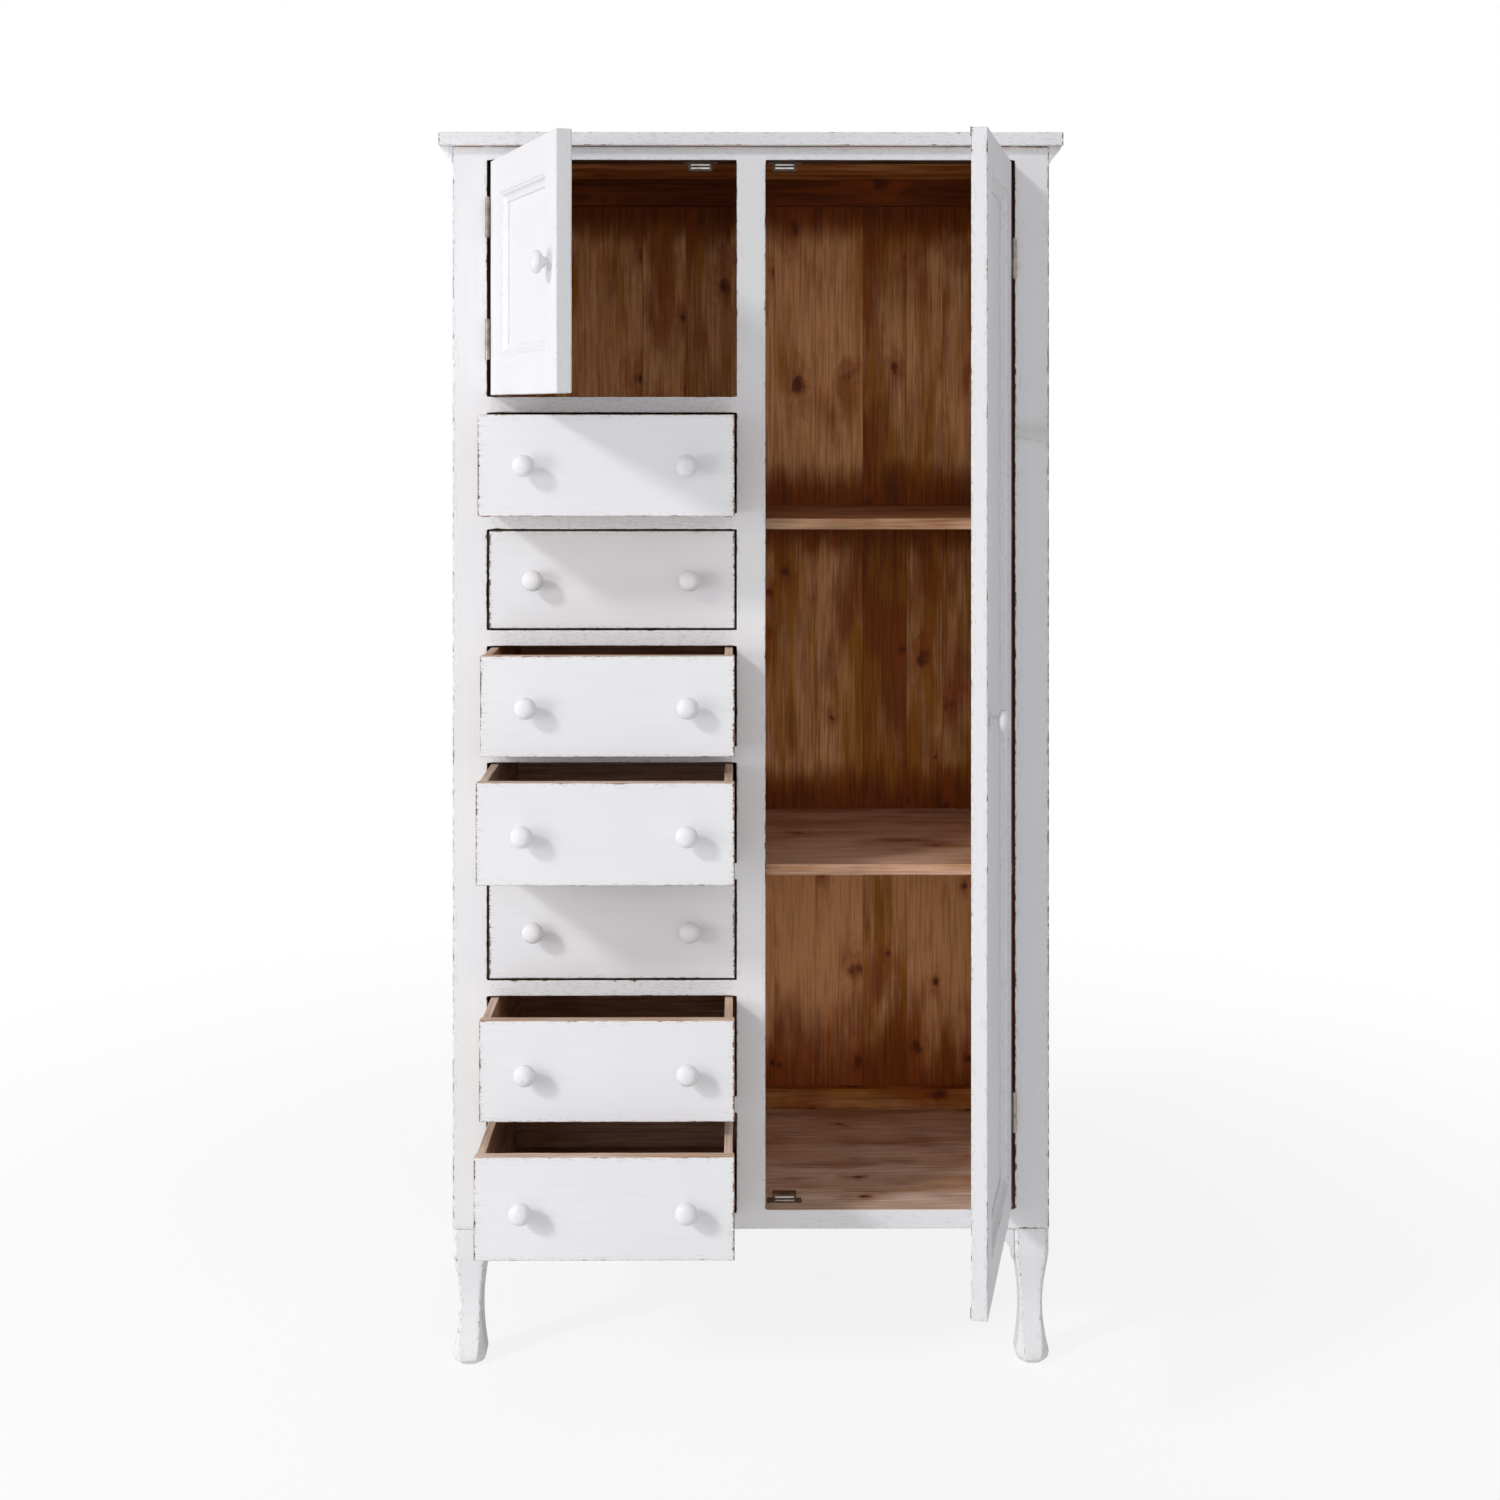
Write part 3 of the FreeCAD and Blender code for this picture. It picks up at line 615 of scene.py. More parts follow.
def edge_gaps(points, starts, ends):
    """Distance from each point to the nearest of some straight edges."""
    run = ends - starts
    best = np.full(len(points), 1.0)
    for start, way in zip(starts, run):
        share = np.clip((points - start) @ way / max(way @ way, 1e-12), 0, 1)
        best = np.minimum(best, np.linalg.norm(points - start - share[:, None] * way, axis=1))
    return best


def eased_copy(node, grain, seed, ease, rows, least_rub, bend_deg=worn_bend_deg):
    """Copy of a CAD node's mesh, closed, with eased edges and close rows of vertices along each axis."""
    work = bmesh.new()
    work.from_mesh(frame["nodes"][node].data)
    work.transform(closing[body_of[node]])
    bmesh.ops.remove_doubles(work, verts=work.verts, dist=merge_gap)
    flat_bend = math.radians(flat_bend_deg)
    bmesh.ops.dissolve_limit(work, angle_limit=flat_bend, verts=work.verts, edges=work.edges)
    inner = [f for f in work.faces if all(len(e.link_faces) > 2 for e in f.edges)]
    bmesh.ops.delete(work, geom=inner, context="FACES")
    shared = [e for e in work.edges if len(e.link_faces) == 2]
    sharp = [e for e in shared if e.calc_face_angle(0) > math.radians(bend_deg)]
    starts = np.array([e.verts[0].co for e in sharp])
    ends = np.array([e.verts[1].co for e in sharp])
    rounded = {"segments": 2, "profile": 0.5, "affect": "EDGES", "clamp_overlap": True}
    bmesh.ops.bevel(work, geom=sharp, offset=ease, **rounded)
    boxes = solid_boxes(node)
    for axis, row in enumerate(rows):
        cuts = set()
        for low, high in boxes:
            count = max(1, round((high[axis] - low[axis]) / row))
            cuts |= {round(low[axis] + (high[axis] - low[axis]) * k / count, 5) for k in range(1, count)}
        for cut in sorted(cuts):
            spot, way = Vector(), Vector()
            spot[axis], way[axis] = cut, 1
            geometry = work.verts[:] + work.edges[:] + work.faces[:]
            bmesh.ops.bisect_plane(work, geom=geometry, plane_co=spot, plane_no=way, dist=merge_gap)
    bmesh.ops.triangulate(work, faces=work.faces)
    bmesh.ops.recalc_face_normals(work, faces=work.faces)
    work.verts.index_update()
    points = np.array([v.co for v in work.verts])
    shift = np.random.default_rng(seed).uniform(0, grain_spread, 2)
    faces, uvs = [], []
    for face in work.faces:
        across = min((a for a in range(3) if a != grain), key=lambda a: abs(face.normal[a]))
        faces.append([v.index for v in face.verts])
        uvs += [(v.co[grain] + shift[0], v.co[across] + shift[1]) for v in face.verts]
    work.free()
    rub = np.maximum(edge_gaps(points, starts, ends), least_rub)
    return Surface(points, faces, np.array(uvs), rub, [0] * len(faces))


def make_piece(name, surfaces, finishes, nodes, tones=None, corner_shades=None):
    """One mesh from surfaces, moved to where the CAD stores its body, standing for CAD nodes."""
    body = body_of[nodes[0]]
    points = np.concatenate([s.points for s in surfaces])
    points = moved(points, closing[body].inverted())
    firsts = np.cumsum([0] + [len(s.points) for s in surfaces])
    faces = [[first + v for v in face] for s, first in zip(surfaces, firsts) for face in s.faces]
    mesh = bpy.data.meshes.new(name)
    mesh.from_pydata(points.tolist(), [], faces)
    grain = mesh.uv_layers.new(name="grain").uv
    grain.foreach_set("vector", np.concatenate([s.uvs for s in surfaces]).ravel())
    rub = mesh.attributes.new("rub", "FLOAT", "POINT")
    rub.data.foreach_set("value", np.concatenate([s.rub for s in surfaces]))
    tones = tones or [0.0] * len(surfaces)
    tone = mesh.attributes.new("tone", "FLOAT", "POINT")
    spread = [np.broadcast_to(t, len(s.points)) for s, t in zip(surfaces, tones)]
    tone.data.foreach_set("value", np.concatenate(spread))
    # Painted shade in the inside corners, where a piece has it
    if corner_shades:
        pool = mesh.attributes.new("pool", "FLOAT", "POINT")
        pool.data.foreach_set("value", np.concatenate(corner_shades))
    for finish in finishes:
        mesh.materials.append(finish)
    mesh.polygons.foreach_set("material_index", [f for s in surfaces for f in s.finish])
    mesh.polygons.foreach_set("use_smooth", [True] * len(faces))
    mesh.update()
    mesh.set_sharp_from_angle(angle=math.radians(smooth_angle_deg))
    piece = bpy.data.objects.new(name, mesh)
    bpy.context.scene.collection.objects.link(piece)
    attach(piece, body)
    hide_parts(*nodes)
    return piece


# Finishes

paint = white_paint()
knot_brown = rgb(0.12, 0.026, 0.008)
stained_colours = (
    rgb(0.5, 0.215, 0.022), rgb(0.94, 0.52, 0.24), rgb(0.36, 0.082, 0.01), rgb(0.13, 0.032, 0.006),
)
stained_pine = knotty_pine("stained_pine", *stained_colours, knot_brown, 0.75)
shelf_colours = (rgb(0.5, 0.25, 0.11), rgb(0.76, 0.48, 0.34), rgb(0.32, 0.1, 0.03), rgb(0.12, 0.04, 0.02))
shelf_pine = knotty_pine("shelf_pine", *shelf_colours, knot_brown, 0.3)
# Painted shade: near-black pine for the bare faces of the front frame, in the gaps round the doors and drawers
shadowed_colours = (
    rgb(0.06, 0.026, 0.01), rgb(0.08, 0.042, 0.024), rgb(0.045, 0.014, 0.006), rgb(0.02, 0.008, 0.004),
)
shadowed_pine = knotty_pine("shadowed_pine", *shadowed_colours, knot_brown, 0.0)
# Painted light: a paler copy of the pine, only on the front edge of the upper shelf, standing in for light falling
# on it
lit_shelf_edge_colours = (rgb(0.6, 0.35, 0.2), rgb(0.84, 0.6, 0.47), rgb(0.42, 0.18, 0.08), rgb(0.15, 0.07, 0.04))
lit_shelf_edge_pine = knotty_pine("lit_shelf_edge_pine", *lit_shelf_edge_colours, knot_brown, 0.1)
# Painted sheen: paler, pinker pine for the top and front edge of the bay floor, standing in for the light it
# reflects
floor_sheen_colours = (rgb(0.7, 0.46, 0.3), rgb(0.92, 0.72, 0.6), rgb(0.46, 0.22, 0.11), rgb(0.17, 0.08, 0.05))
floor_sheen_pine = knotty_pine("floor_sheen_pine", *floor_sheen_colours, knot_brown, 0.35)
drawer_colours = (rgb(0.56, 0.32, 0.19), rgb(0.74, 0.5, 0.39), rgb(0.42, 0.19, 0.09), rgb(0.16, 0.07, 0.04))
drawer_pine = knotty_pine("drawer_pine", *drawer_colours, knot_brown, 0.2)
pale_colours = (rgb(0.72, 0.51, 0.38), rgb(0.8, 0.62, 0.52), rgb(0.6, 0.38, 0.26), rgb(0.3, 0.16, 0.09))
cut_pine = knotty_pine("cut_pine", *pale_colours, rgb(0.34, 0.17, 0.1), 0.12)
runner_pine = knotty_pine("runner_pine", *pale_colours, knot_brown, 0.0, on_object=True)
raw_colours = (rgb(0.6, 0.53, 0.44), rgb(0.66, 0.58, 0.5), rgb(0.5, 0.4, 0.31), rgb(0.26, 0.18, 0.12))
raw_pine = knotty_pine("raw_pine", *raw_colours, rgb(0.2, 0.12, 0.07), 0.3)
nickel = plated_metal("dull_nickel", rgb(0.34, 0.3, 0.25), rgb(0.13, 0.11, 0.09))
steel = plated_metal("bright_steel", rgb(0.8, 0.79, 0.77), rgb(0.5, 0.47, 0.43))
enamel = brown_enamel()


# Painted carcass

front_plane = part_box("centre_stile")[0][1]
left_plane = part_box("front_post_left")[0][0]
right_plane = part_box("front_post_right")[1][0]
back_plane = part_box("back_posts")[1][1]
all_painted = dict.fromkeys(SIDES.values(), 0)


def painted_board(low, high, grain, seed, finish_of, joints, ease):
    """Board with the edges and the fine grid that worn paint needs."""
    return board(low, high, grain, seed, paint_rounding, paint_step, finish_of, joints, ease)


def pine_board(low, high, grain, seed, finish_of):
    """Board of stained or raw pine."""
    return board(np.array(low), np.array(high), grain, seed, pine_rounding, pine_step, finish_of)


def outer_sides(low, high):
    """Paint on the sides of a carcass board that face out of the cabinet."""
    sides = {}
    if low[1] < front_plane + touch:
        sides["-y"] = 0
    if high[0] > right_plane - panel_depth:
        sides["+x"] = 0
    if low[0] < left_plane + panel_depth:
        sides["-x"] = 0
    return sides


bare_sides = {"bay_sill": {"+z": 2}, "back_posts": {"+y": 3}}
panel_boxes = solid_boxes("side_panels")
panel_face = max(abs(box[1][0]) for box in panel_boxes)


def painted_reveal(surface):
    """The edges of the side frames that stand proud of the side panels are painted."""
    across = np.array([abs(surface.points[face, 0].mean()) for face in surface.faces])
    return surface._replace(finish=np.where(across > panel_face, 0, surface.finish).tolist())


def bare_ceiling(surface, low):
    """The underside of the top board is stained between the carcass boards."""
    centres = np.array([surface.points[face].mean(0) for face in surface.faces])
    across, depth, height = centres.T
    between = (across > left_plane) & (across < right_plane) & (depth > front_plane) & (depth < back_plane)
    under = between & (height < low[2] + touch / 2)
    return surface._replace(finish=np.where(under, 1, surface.finish).tolist())


painted_grain = {
    "top_board": 0, "front_post_left": 2, "front_post_right": 2, "back_posts": 2, "centre_stile": 2,
    "top_rail": 0, "drawer_rails": 0, "bay_sill": 0, "side_rails": 1, "side_panels": 2,
}
gap_boards = ("front_post_left", "front_post_right", "centre_stile", "top_rail", "drawer_rails", "bay_sill")
top_ease = (-0.002, 0.0004, 0.0004)
edge_ease = {
    "front_post_left": -0.0006, "front_post_right": -0.0014, "side_panels": 0.002, "bay_sill": 0.002,
    "top_rail": 0.001,
}
frame_nodes = [node for node in painted_grain if node not in ("top_board", "side_panels")]
frame_boxes = [box for node in frame_nodes for box in solid_boxes(node)]
for seed, (node, grain) in enumerate(painted_grain.items(), first_seeds["painted"]):
    surfaces = []
    for k, (low, high) in enumerate(solid_boxes(node)):
        if node == "top_board":
            surface = painted_board(low, high, grain, board_seeds * seed + k, all_painted, (), top_ease)
            surface = bare_ceiling(surface, low)
        else:
            joints = touching(low, high, frame_boxes + panel_boxes)
            painted = outer_sides(low, high) | bare_sides.get(node, {})
            ease = (edge_ease.get(node, 0.0),) * 3
            surface = painted_board(low, high, grain, board_seeds * seed + k, painted, joints, ease)
            surface = painted_reveal(surface)
        surfaces.append(surface)
    # The front frame's bare faces, seen in the gaps, take the painted shade
    inside = shadowed_pine if node in gap_boards else stained_pine
    make_piece(f"painted_{node}", surfaces, [paint, inside, cut_pine, raw_pine], [node])

eased = {
    "crown_mouldings": (1, 0.0008, (uncut, moulding_row, uncut), 0.0035, worn_bend_deg),
    "feet": (2, 0.0012, (0.007, 0.007, 0.008), 0.0006, foot_bend_deg),
    "knee_brackets": (0, 0.001, (0.006, uncut, 0.006), 0.0015, worn_bend_deg),
}
for seed, (node, (grain, *easing)) in enumerate(eased.items(), first_seeds["eased"]):
    surface = eased_copy(node, grain, seed, *easing)
    make_piece(f"painted_{node}", [surface], [paint], [node])


# Pine inside

pine_grain = {
    "back_rails": 0, "back_boards": 2, "partition": 2, "bay_floor": 0, "cupboard_floor": 0,
    "upper_shelf": 0, "lower_shelf": 0, "shelf_cleats": 1,
}
pine_sides = {
    # The bay floor's top and front edge take the painted sheen, 4
    "bay_floor": {"-y": 4, "+z": 4}, "back_boards": {"+y": 2},
    # The upper shelf's front edge takes the painted light, 5
    "upper_shelf": {"-y": 5, "+z": 3, "-z": 3}, "lower_shelf": {"-y": 3, "+z": 3, "-z": 3},
}


def corner_shade_of(points):
    """Painted shade inside: 1 beside a shelf, floor or rail, falling to 0 further off, on the inner faces only."""
    pool = np.zeros(len(points))
    for node, reach in corner_shade_reach.items():
        for low, high in solid_boxes(node):
            gap = np.maximum(low[2] - points[:, 2], points[:, 2] - high[2])
            pool = np.maximum(pool, 1 - np.maximum(gap, 0) / reach)
    outside = points[:, 1] > (points[:, 1].min() + points[:, 1].max()) / 2
    return np.where(outside, 0, pool)


def bay_tone(points):
    """Paler back boards in the lowest bay, deeper ones in the middle bay."""
    across, _, height = points.T
    levels = [solid_boxes(shelf)[0][0][2] for shelf in ("lower_shelf", "upper_shelf")]
    tone = np.array(bay_tones)[np.searchsorted(levels, height)]
    return np.where(across < 0, cupboard_tone, tone)


for seed, (node, grain) in enumerate(pine_grain.items(), first_seeds["pine"]):
    boxes = solid_boxes(node)
    widest = (min(low[0] for low, high in boxes), max(high[0] for low, high in boxes))
    finish_of = pine_sides.get(node, {})
    surfaces = []
    for k, (low, high) in enumerate(boxes):
        if node == "back_boards":
            low = np.array((max(low[0] - board_overlap, widest[0]), low[1], low[2]))
            high = np.array((min(high[0] + board_overlap, widest[1]), high[1] - nail_height, high[2]))
        surfaces.append(pine_board(low, high, grain, board_seeds * seed + k, finish_of))
    tones = np.random.default_rng(seed).uniform(-1, 1, len(boxes)).tolist()
    # Painted shade on the inner faces of the back boards beside shelves and floors, and on the back rails
    corner_shades = None
    if node == "back_boards":
        tones = [t + bay_tone(s.points) for s, t in zip(surfaces, tones)]
        corner_shades = [corner_shade_of(s.points) for s in surfaces]
    if node == "back_rails":
        corner_shades = [np.full(len(s.points), pool) for s, pool in zip(surfaces, rail_corner_shades)]
    finishes = [drawer_pine, stained_pine, raw_pine, shelf_pine, floor_sheen_pine, lit_shelf_edge_pine]
    make_piece(f"pine_{node}", surfaces, finishes, [node], tones, corner_shades)


# Doors


def knob_patch(surface):
    """Grey and bare spots in the paint, in a patch on the face of the tall door beside its knob."""
    (low, high), = solid_boxes("tall_door_knob")
    spot = ((low[0] + high[0]) / 2 - knob_patch_aside, front_plane, (low[2] + high[2]) / 2)
    reach = np.linalg.norm(surface.points - spot, axis=1)
    worn = np.minimum(surface.rub, knob_patch_rub + reach * knob_patch_slope)
    face = surface.points[:, 1] < front_plane + paint_rounding / 2
    return surface._replace(rub=np.where(face, worn, surface.rub))


door_grain = {"stiles": 2, "rails": 0, "panel": 2}
door_ease = {"small_door": 0.0014, "tall_door": 0.0}
for number, door in enumerate(door_ease):
    ease = (door_ease[door],) * 3
    door_boxes = [box for part in ("stiles", "rails", "mouldings") for box in solid_boxes(f"{door}_{part}")]
    first_seed = first_seeds["doors"] + door_seeds * number
    for seed, (part, grain) in enumerate(door_grain.items(), first_seed):
        node = f"{door}_{part}"
        surfaces = []
        for k, (low, high) in enumerate(solid_boxes(node)):
            joints = touching(low, high, door_boxes)
            surface = painted_board(low, high, grain, board_seeds * seed + k, all_painted, joints, ease)
            if node == "tall_door_stiles":
                surface = knob_patch(surface)
            surfaces.append(surface)
        make_piece(f"painted_{node}", surfaces, [paint], [node])
    node = f"{door}_mouldings"
    rows = (moulding_row, uncut, moulding_row)
    seed = first_seeds["door_mouldings"] + number
    surface = eased_copy(node, 2, seed, moulding_ease, rows, moulding_least_rub)
    make_piece(f"painted_{node}", [surface], [paint], [node])


def knobs_of(node, seed):
    """Turned knobs where a CAD node has its knobs, on the front plane."""
    knobs = []
    for k, (low, high) in enumerate(solid_boxes(node)):
        knobs.append(turned_knob((low + high) / 2, (high[0] - low[0]) / 2, front_plane, low[1], seed + k))
    return knobs


for number, door in enumerate(("small_door", "tall_door")):
    knobs = knobs_of(f"{door}_knob", first_seeds["door_knobs"] + number)
    make_piece(f"turned_{door}_knob", knobs, [paint], [f"{door}_knob"])


# Drawers

drawer_count = sum(1 for body in bodies if body.startswith("drawer_"))
drawer_ease = (-0.0019, -0.0002, -0.0002)
drawer_front_sides = {"-y": 0, "+z": 2, "-z": 2}


def drawer_box(low, high):
    """Boards of a drawer box: (low corner, high corner, grain, finish of its sides)."""
    floor_low = low[2] + box_bottom_rise
    floor_high = floor_low + box_bottom
    inner_left, inner_right = low[0] + box_side, high[0] - box_side
    back_low = (inner_left, high[1] - box_side, floor_high)
    back_high = (inner_right, high[1], floor_high + box_back_height)
    return (
        (low, (inner_left, high[1], high[2]), 1, {"-x": 2, "+z": 0, "-z": 2}),
        ((inner_right, low[1], low[2]), high, 1, {"+x": 2, "+z": 0, "-z": 2}),
        (back_low, back_high, 0, {"+y": 2, "+z": 0}),
        ((inner_left, low[1], floor_low), (inner_right, high[1], floor_high), 0, {"-z": 2}),
    )


for number in range(1, drawer_count + 1):
    drawer = f"drawer_{number}"
    front = f"{drawer}_front"
    (low, high), = solid_boxes(front)
    seed = first_seeds["drawer_fronts"] + number
    surface = painted_board(low, high, 0, seed, drawer_front_sides, (), drawer_ease)
    make_piece(f"painted_{front}", [surface], [paint, drawer_pine, cut_pine], [front])
    points = closed_points(f"{drawer}_box")
    box_low, box_high = points.min(0), points.max(0)
    box_low[1] = high[1]
    seed = first_seeds["drawer_boxes"] + drawer_seeds * number
    surfaces = [
        pine_board(board_low, board_high, grain, seed + k, finish_of)
        for k, (board_low, board_high, grain, finish_of) in enumerate(drawer_box(box_low, box_high))
    ]
    tones = np.random.default_rng(number).uniform(-1, 1, len(surfaces)).tolist()
    finishes = [cut_pine, drawer_pine, raw_pine]
    make_piece(f"pine_{drawer}_box", surfaces, finishes, [f"{drawer}_box"], tones)
    knobs = knobs_of(f"{drawer}_knobs", first_seeds["drawer_knobs"] + drawer_seeds * number)
    make_piece(f"turned_{drawer}_knobs", knobs, [paint], [f"{drawer}_knobs"])


# Nails and screws


def fastener_tree():
    """Geometry nodes that set a slotted or plain head on each point, facing as the point says."""
    group = bpy.data.node_groups.new("fastener_heads", "GeometryNodeTree")
    group.interface.new_socket("Geometry", in_out="OUTPUT", socket_type="NodeSocketGeometry")
    kinds = {
        "Points": "Geometry", "Head radius": "Float", "Head height": "Float", "Slot width": "Float",
        "Finish": "Material", "Seed": "Int",
    }
    for name, kind in kinds.items():
        group.interface.new_socket(name, in_out="INPUT", socket_type=f"NodeSocket{kind}")
    tree = Tree(group)
    given = {name: tree.node("NodeGroupInput", out=name) for name in kinds}
    radius, height = given["Head radius"], given["Head height"]
    top = radius * head_top_share
    cone = {"Vertices": head_corners, "Radius Bottom": radius, "Radius Top": top, "Depth": height}
    head = tree.node("GeometryNodeMeshCone", (), cone, out="Mesh")
    slot_size = {"X": radius * slot_length_share, "Y": given["Slot width"], "Z": height}
    slot_size = tree.node("ShaderNodeCombineXYZ", (), slot_size)
    slot = tree.node("GeometryNodeMeshCube", (), {"Size": slot_size}, out="Mesh")
    slot_place = tree.node("ShaderNodeCombineXYZ", (), {"Z": height})
    slot = tree.node("GeometryNodeTransform", (), {"Geometry": slot, "Translation": slot_place})
    cut = {"Mesh 1": head, "Mesh 2": slot}
    cut = tree.node("GeometryNodeMeshBoolean", {"operation": "DIFFERENCE"}, cut)
    facing = {"data_type": "FLOAT_VECTOR"}
    facing = tree.node("GeometryNodeInputNamedAttribute", facing, {"Name": "facing"})
    turned = tree.node("FunctionNodeAlignRotationToVector", {"axis": "Z"}, {"Vector": facing})
    angle = {"Min": 0.0, "Max": math.pi, "Seed": given["Seed"]}
    angle = tree.node("FunctionNodeRandomValue", {"data_type": "FLOAT"}, angle, out="Value")
    spin = tree.node("FunctionNodeAxisAngleToRotation", (), {"Axis": (0, 0, 1), "Angle": angle})
    turned = tree.node("FunctionNodeRotateRotation", {"rotation_space": "LOCAL"}, {0: turned, 1: spin})
    placed = {"Points": given["Points"], "Instance": cut, "Rotation": turned}
    placed = tree.node("GeometryNodeInstanceOnPoints", (), placed)
    solid = tree.node("GeometryNodeRealizeInstances", (), {"Geometry": placed})
    solid = tree.node("GeometryNodeSetMaterial", (), {"Geometry": solid, "Material": given["Finish"]})
    output = tree.nodes.new("NodeGroupOutput")
    tree.feed(output.inputs["Geometry"], solid)
    return group


fastener_heads = fastener_tree()


def fasteners(name, body, places, ways, sizes, slot):
    """Heads at closed places, facing ways, as one plain mesh that rides on a body."""
    home = closing[body].inverted()
    points = bpy.data.meshes.new(f"{name}_points")
    points.from_pydata(moved(np.array(places), home).tolist(), [], [])
    facing = points.attributes.new("facing", "FLOAT_VECTOR", "POINT")
    facing.data.foreach_set("vector", (np.array(ways) @ np.array(home.to_3x3()).T).ravel())
    seat = bpy.data.objects.new(f"{name}_points", points)
    bpy.context.scene.collection.objects.link(seat)
    modifier = seat.modifiers.new("heads", "NODES")
    modifier.node_group = fastener_heads
    sockets = {s.name: s.identifier for s in fastener_heads.interface.items_tree if s.in_out == "INPUT"}
    for socket, value in {**sizes, "Finish": nickel, "Seed": fastener_seed}.items():
        modifier[sockets[socket]] = value
    depsgraph = bpy.context.evaluated_depsgraph_get()
    mesh = bpy.data.meshes.new_from_object(seat.evaluated_get(depsgraph))
    seat.modifiers.remove(modifier)
    bpy.data.objects.remove(seat)
    mesh.name = name
    heads = bpy.data.objects.new(name, mesh)
    bpy.context.scene.collection.objects.link(heads)
    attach(heads, body)


def back_nails():
    """Two nails through each back board into each back rail."""
    places = []
    for low, high in solid_boxes("back_boards"):
        for rail_low, rail_high in solid_boxes("back_rails"):
            for share in nail_shares:
                across = low[0] + (high[0] - low[0]) * share
                places.append((across, high[1] - nail_height, (rail_low[2] + rail_high[2]) / 2))
    return places, [(0, 1, 0)] * len(places)


def flange_screws():
    """A screw at each end of the flange of each catch."""
    places, ways = [], []
    middle = solid_boxes("lower_shelf")[0][0][2]
    for low, high in solid_boxes("catch_cases"):
        hung = low[2] > middle
        lift = high[2] - flange_thick if hung else low[2] + flange_thick
        for reach in (-flange_screw_reach, flange_screw_reach):
            places.append(((low[0] + high[0]) / 2 + reach, (low[1] + high[1]) / 2, lift))
            ways.append((0, 0, -1 if hung else 1))
    return places, ways


def strike_screws(node):
    """A sunk screw at each end of each strike plate."""
    places = []
    for low, high in solid_boxes(node):
        for reach in (-strike_screw_reach, strike_screw_reach):
            across = (low[0] + high[0]) / 2 + reach
            places.append((across, high[1] - screw_height * screw_sunk_share, (low[2] + high[2]) / 2))
    return places, [(0, 1, 0)] * len(places)


carcass_body = body_of["back_boards"]
nail_sizes = {"Head radius": nail_radius, "Head height": nail_height, "Slot width": 0.0}
screw_sizes = {"Head radius": screw_radius, "Head height": screw_height, "Slot width": screw_slot}
fasteners("back_board_nails", carcass_body, *back_nails(), nail_sizes, "nickel")
fasteners("catch_screws", carcass_body, *flange_screws(), screw_sizes, "nickel")
for door in ("small_door", "tall_door"):
    node = f"{door}_strikes"
    fasteners(f"{door}_strike_screws", body_of[node], *strike_screws(node), screw_sizes, "nickel")


# Metal and hidden CAD nodes keep their shape

kept = {"drawer_runners": runner_pine, "catch_cases": enamel, "catch_poles": steel, "frame_hinges": nickel}
for door in ("small_door", "tall_door"):
    kept.update({f"{door}_hinges": nickel, f"{door}_strikes": nickel})
for node, finish in kept.items():
    mesh = frame["nodes"][node].data
    mesh.materials.clear()
    mesh.materials.append(finish)


# Studio


def white_floor():
    """Pale floor that keeps the shadow near the cabinet and fades to white further off."""
    material = bpy.data.materials.new("pale_floor")
    material.use_nodes = True
    tree = Tree(material.node_tree)
    tree.nodes.clear()
    seen = light_path_seen(tree)
    place = tree.node("ShaderNodeTexCoord", out="Object")
    away = tree.node("ShaderNodeVectorMath", {"operation": "LENGTH"}, {0: place}, out="Value")
    diffuse = tree.node("ShaderNodeBsdfDiffuse", (), {"Color": rgb(0.88, 0.88, 0.88)})
    white = tree.node("ShaderNodeEmission", (), {"Color": rgb(1, 1, 1), "Strength": 1.0})
    share = seen * (floor_white_share + away.ramp(*floor_fade) * (1 - floor_white_share))
    mixed = tree.node("ShaderNodeMixShader", (), {0: share, 1: diffuse, 2: white})
    output = tree.nodes.new("ShaderNodeOutputMaterial")
    tree.feed(output.inputs["Surface"], mixed)
    return material


def light_path_seen(tree):
    """1 where the camera sees a surface, straight or in a mirror or through glass."""
    kinds = ("Camera", "Glossy", "Transmission")
    straight, glossy, clear = (tree.node("ShaderNodeLightPath", out=f"Is {kind} Ray") for kind in kinds)
    return straight.most(glossy).most(clear)


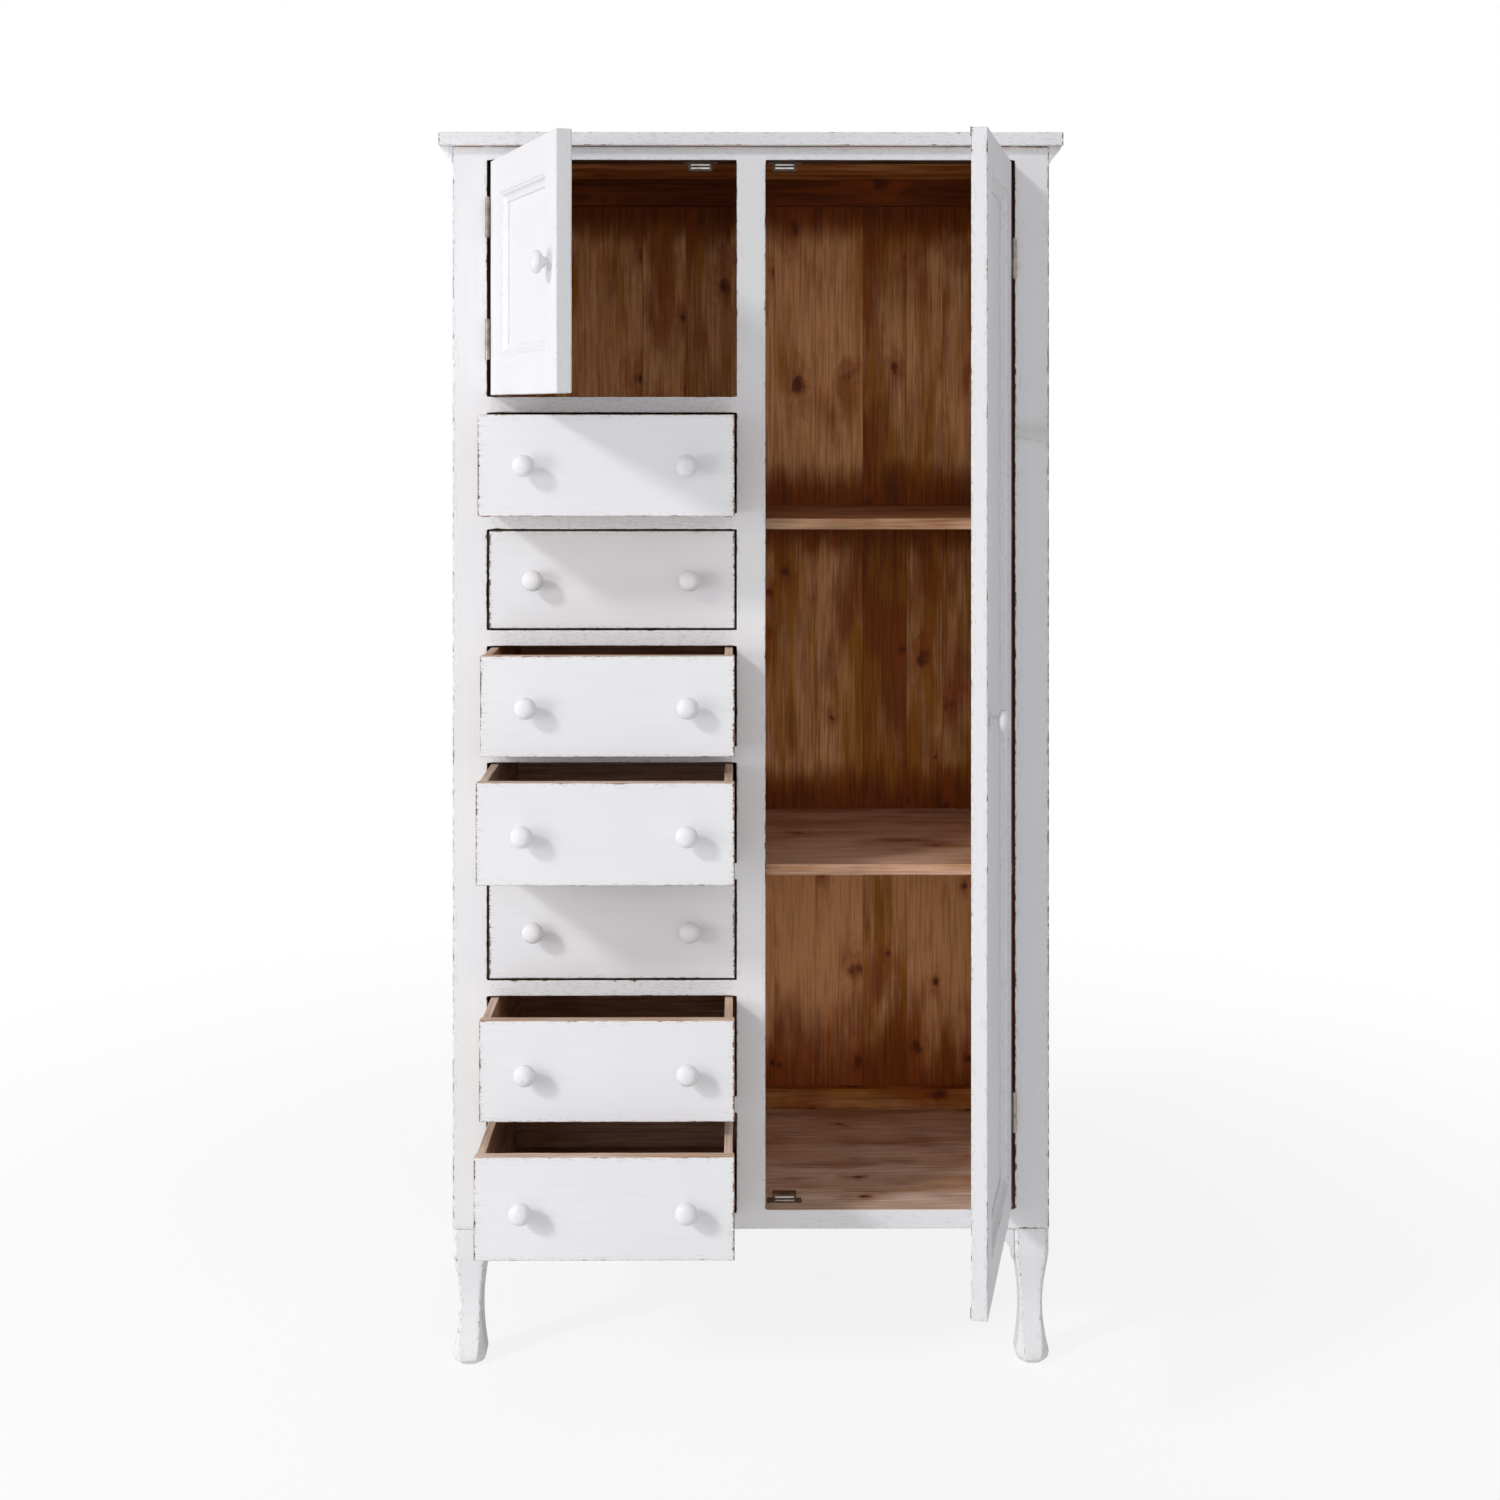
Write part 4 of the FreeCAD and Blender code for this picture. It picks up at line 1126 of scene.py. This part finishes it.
def studio():
    """Floor, white backdrop, key light and side lamp."""
    mesh = bpy.data.meshes.new("floor")
    half = floor_size / 2
    corners = [(-half, -half, 0), (half, -half, 0), (half, half, 0), (-half, half, 0)]
    mesh.from_pydata(corners, [], [(0, 1, 2, 3)])
    mesh.materials.append(white_floor())
    floor = bpy.data.objects.new("floor", mesh)
    bpy.context.scene.collection.objects.link(floor)
    world = bpy.data.worlds.new("studio")
    world.use_nodes = True
    bpy.context.scene.world = world
    tree = Tree(world.node_tree)
    seen = light_path_seen(tree)
    backdrop = world.node_tree.nodes["Background"]
    backdrop.inputs["Color"].default_value = (1, 1, 1, 1)
    way = tree.node("ShaderNodeTexCoord", out="Generated")
    around = 0.0
    for (axis, side), level in sky_levels.items():
        facing = (tree.node("ShaderNodeSeparateXYZ", (), {"Vector": way}, out=axis) * side).most(0.0)
        around = facing * facing * level + around
    tree.feed(backdrop.inputs["Strength"], seen + (1 - seen) * around)
    key = bpy.data.lights.new("key", "SUN")
    key.energy = key_strength
    key.angle = math.radians(key_spread_deg)
    hang(key, key_place, Vector(key_towards))
    towards = Vector(lamp_aim) - Vector(lamp_place)
    side_lamp = bpy.data.lights.new("side_lamp", "AREA")
    side_lamp.shape = "DISK"
    side_lamp.size = lamp_size
    side_lamp.energy = math.pi * towards.length_squared * lamp_level
    hang(side_lamp, lamp_place, towards)


def hang(light, place, towards):
    """Put a light at a place, shining in a direction."""
    lamp = bpy.data.objects.new(light.name, light)
    lamp.location = place
    lamp.rotation_mode = "QUATERNION"
    lamp.rotation_quaternion = towards.to_track_quat("-Z", "Y")
    bpy.context.scene.collection.objects.link(lamp)


def camera():
    """Camera at the photographed place, with the photographed framing."""
    lens = bpy.data.cameras.new("camera")
    lens.sensor_width = sensor_width
    lens.lens = camera_lens
    lens.shift_y = camera_shift
    eye = bpy.data.objects.new("camera", lens)
    eye.location = camera_place
    eye.rotation_euler = (math.radians(90), 0, math.radians(camera_turn_deg))
    bpy.context.scene.collection.objects.link(eye)
    bpy.context.scene.camera = eye


studio()
camera()
bpy.context.scene.view_settings.view_transform = "Standard"
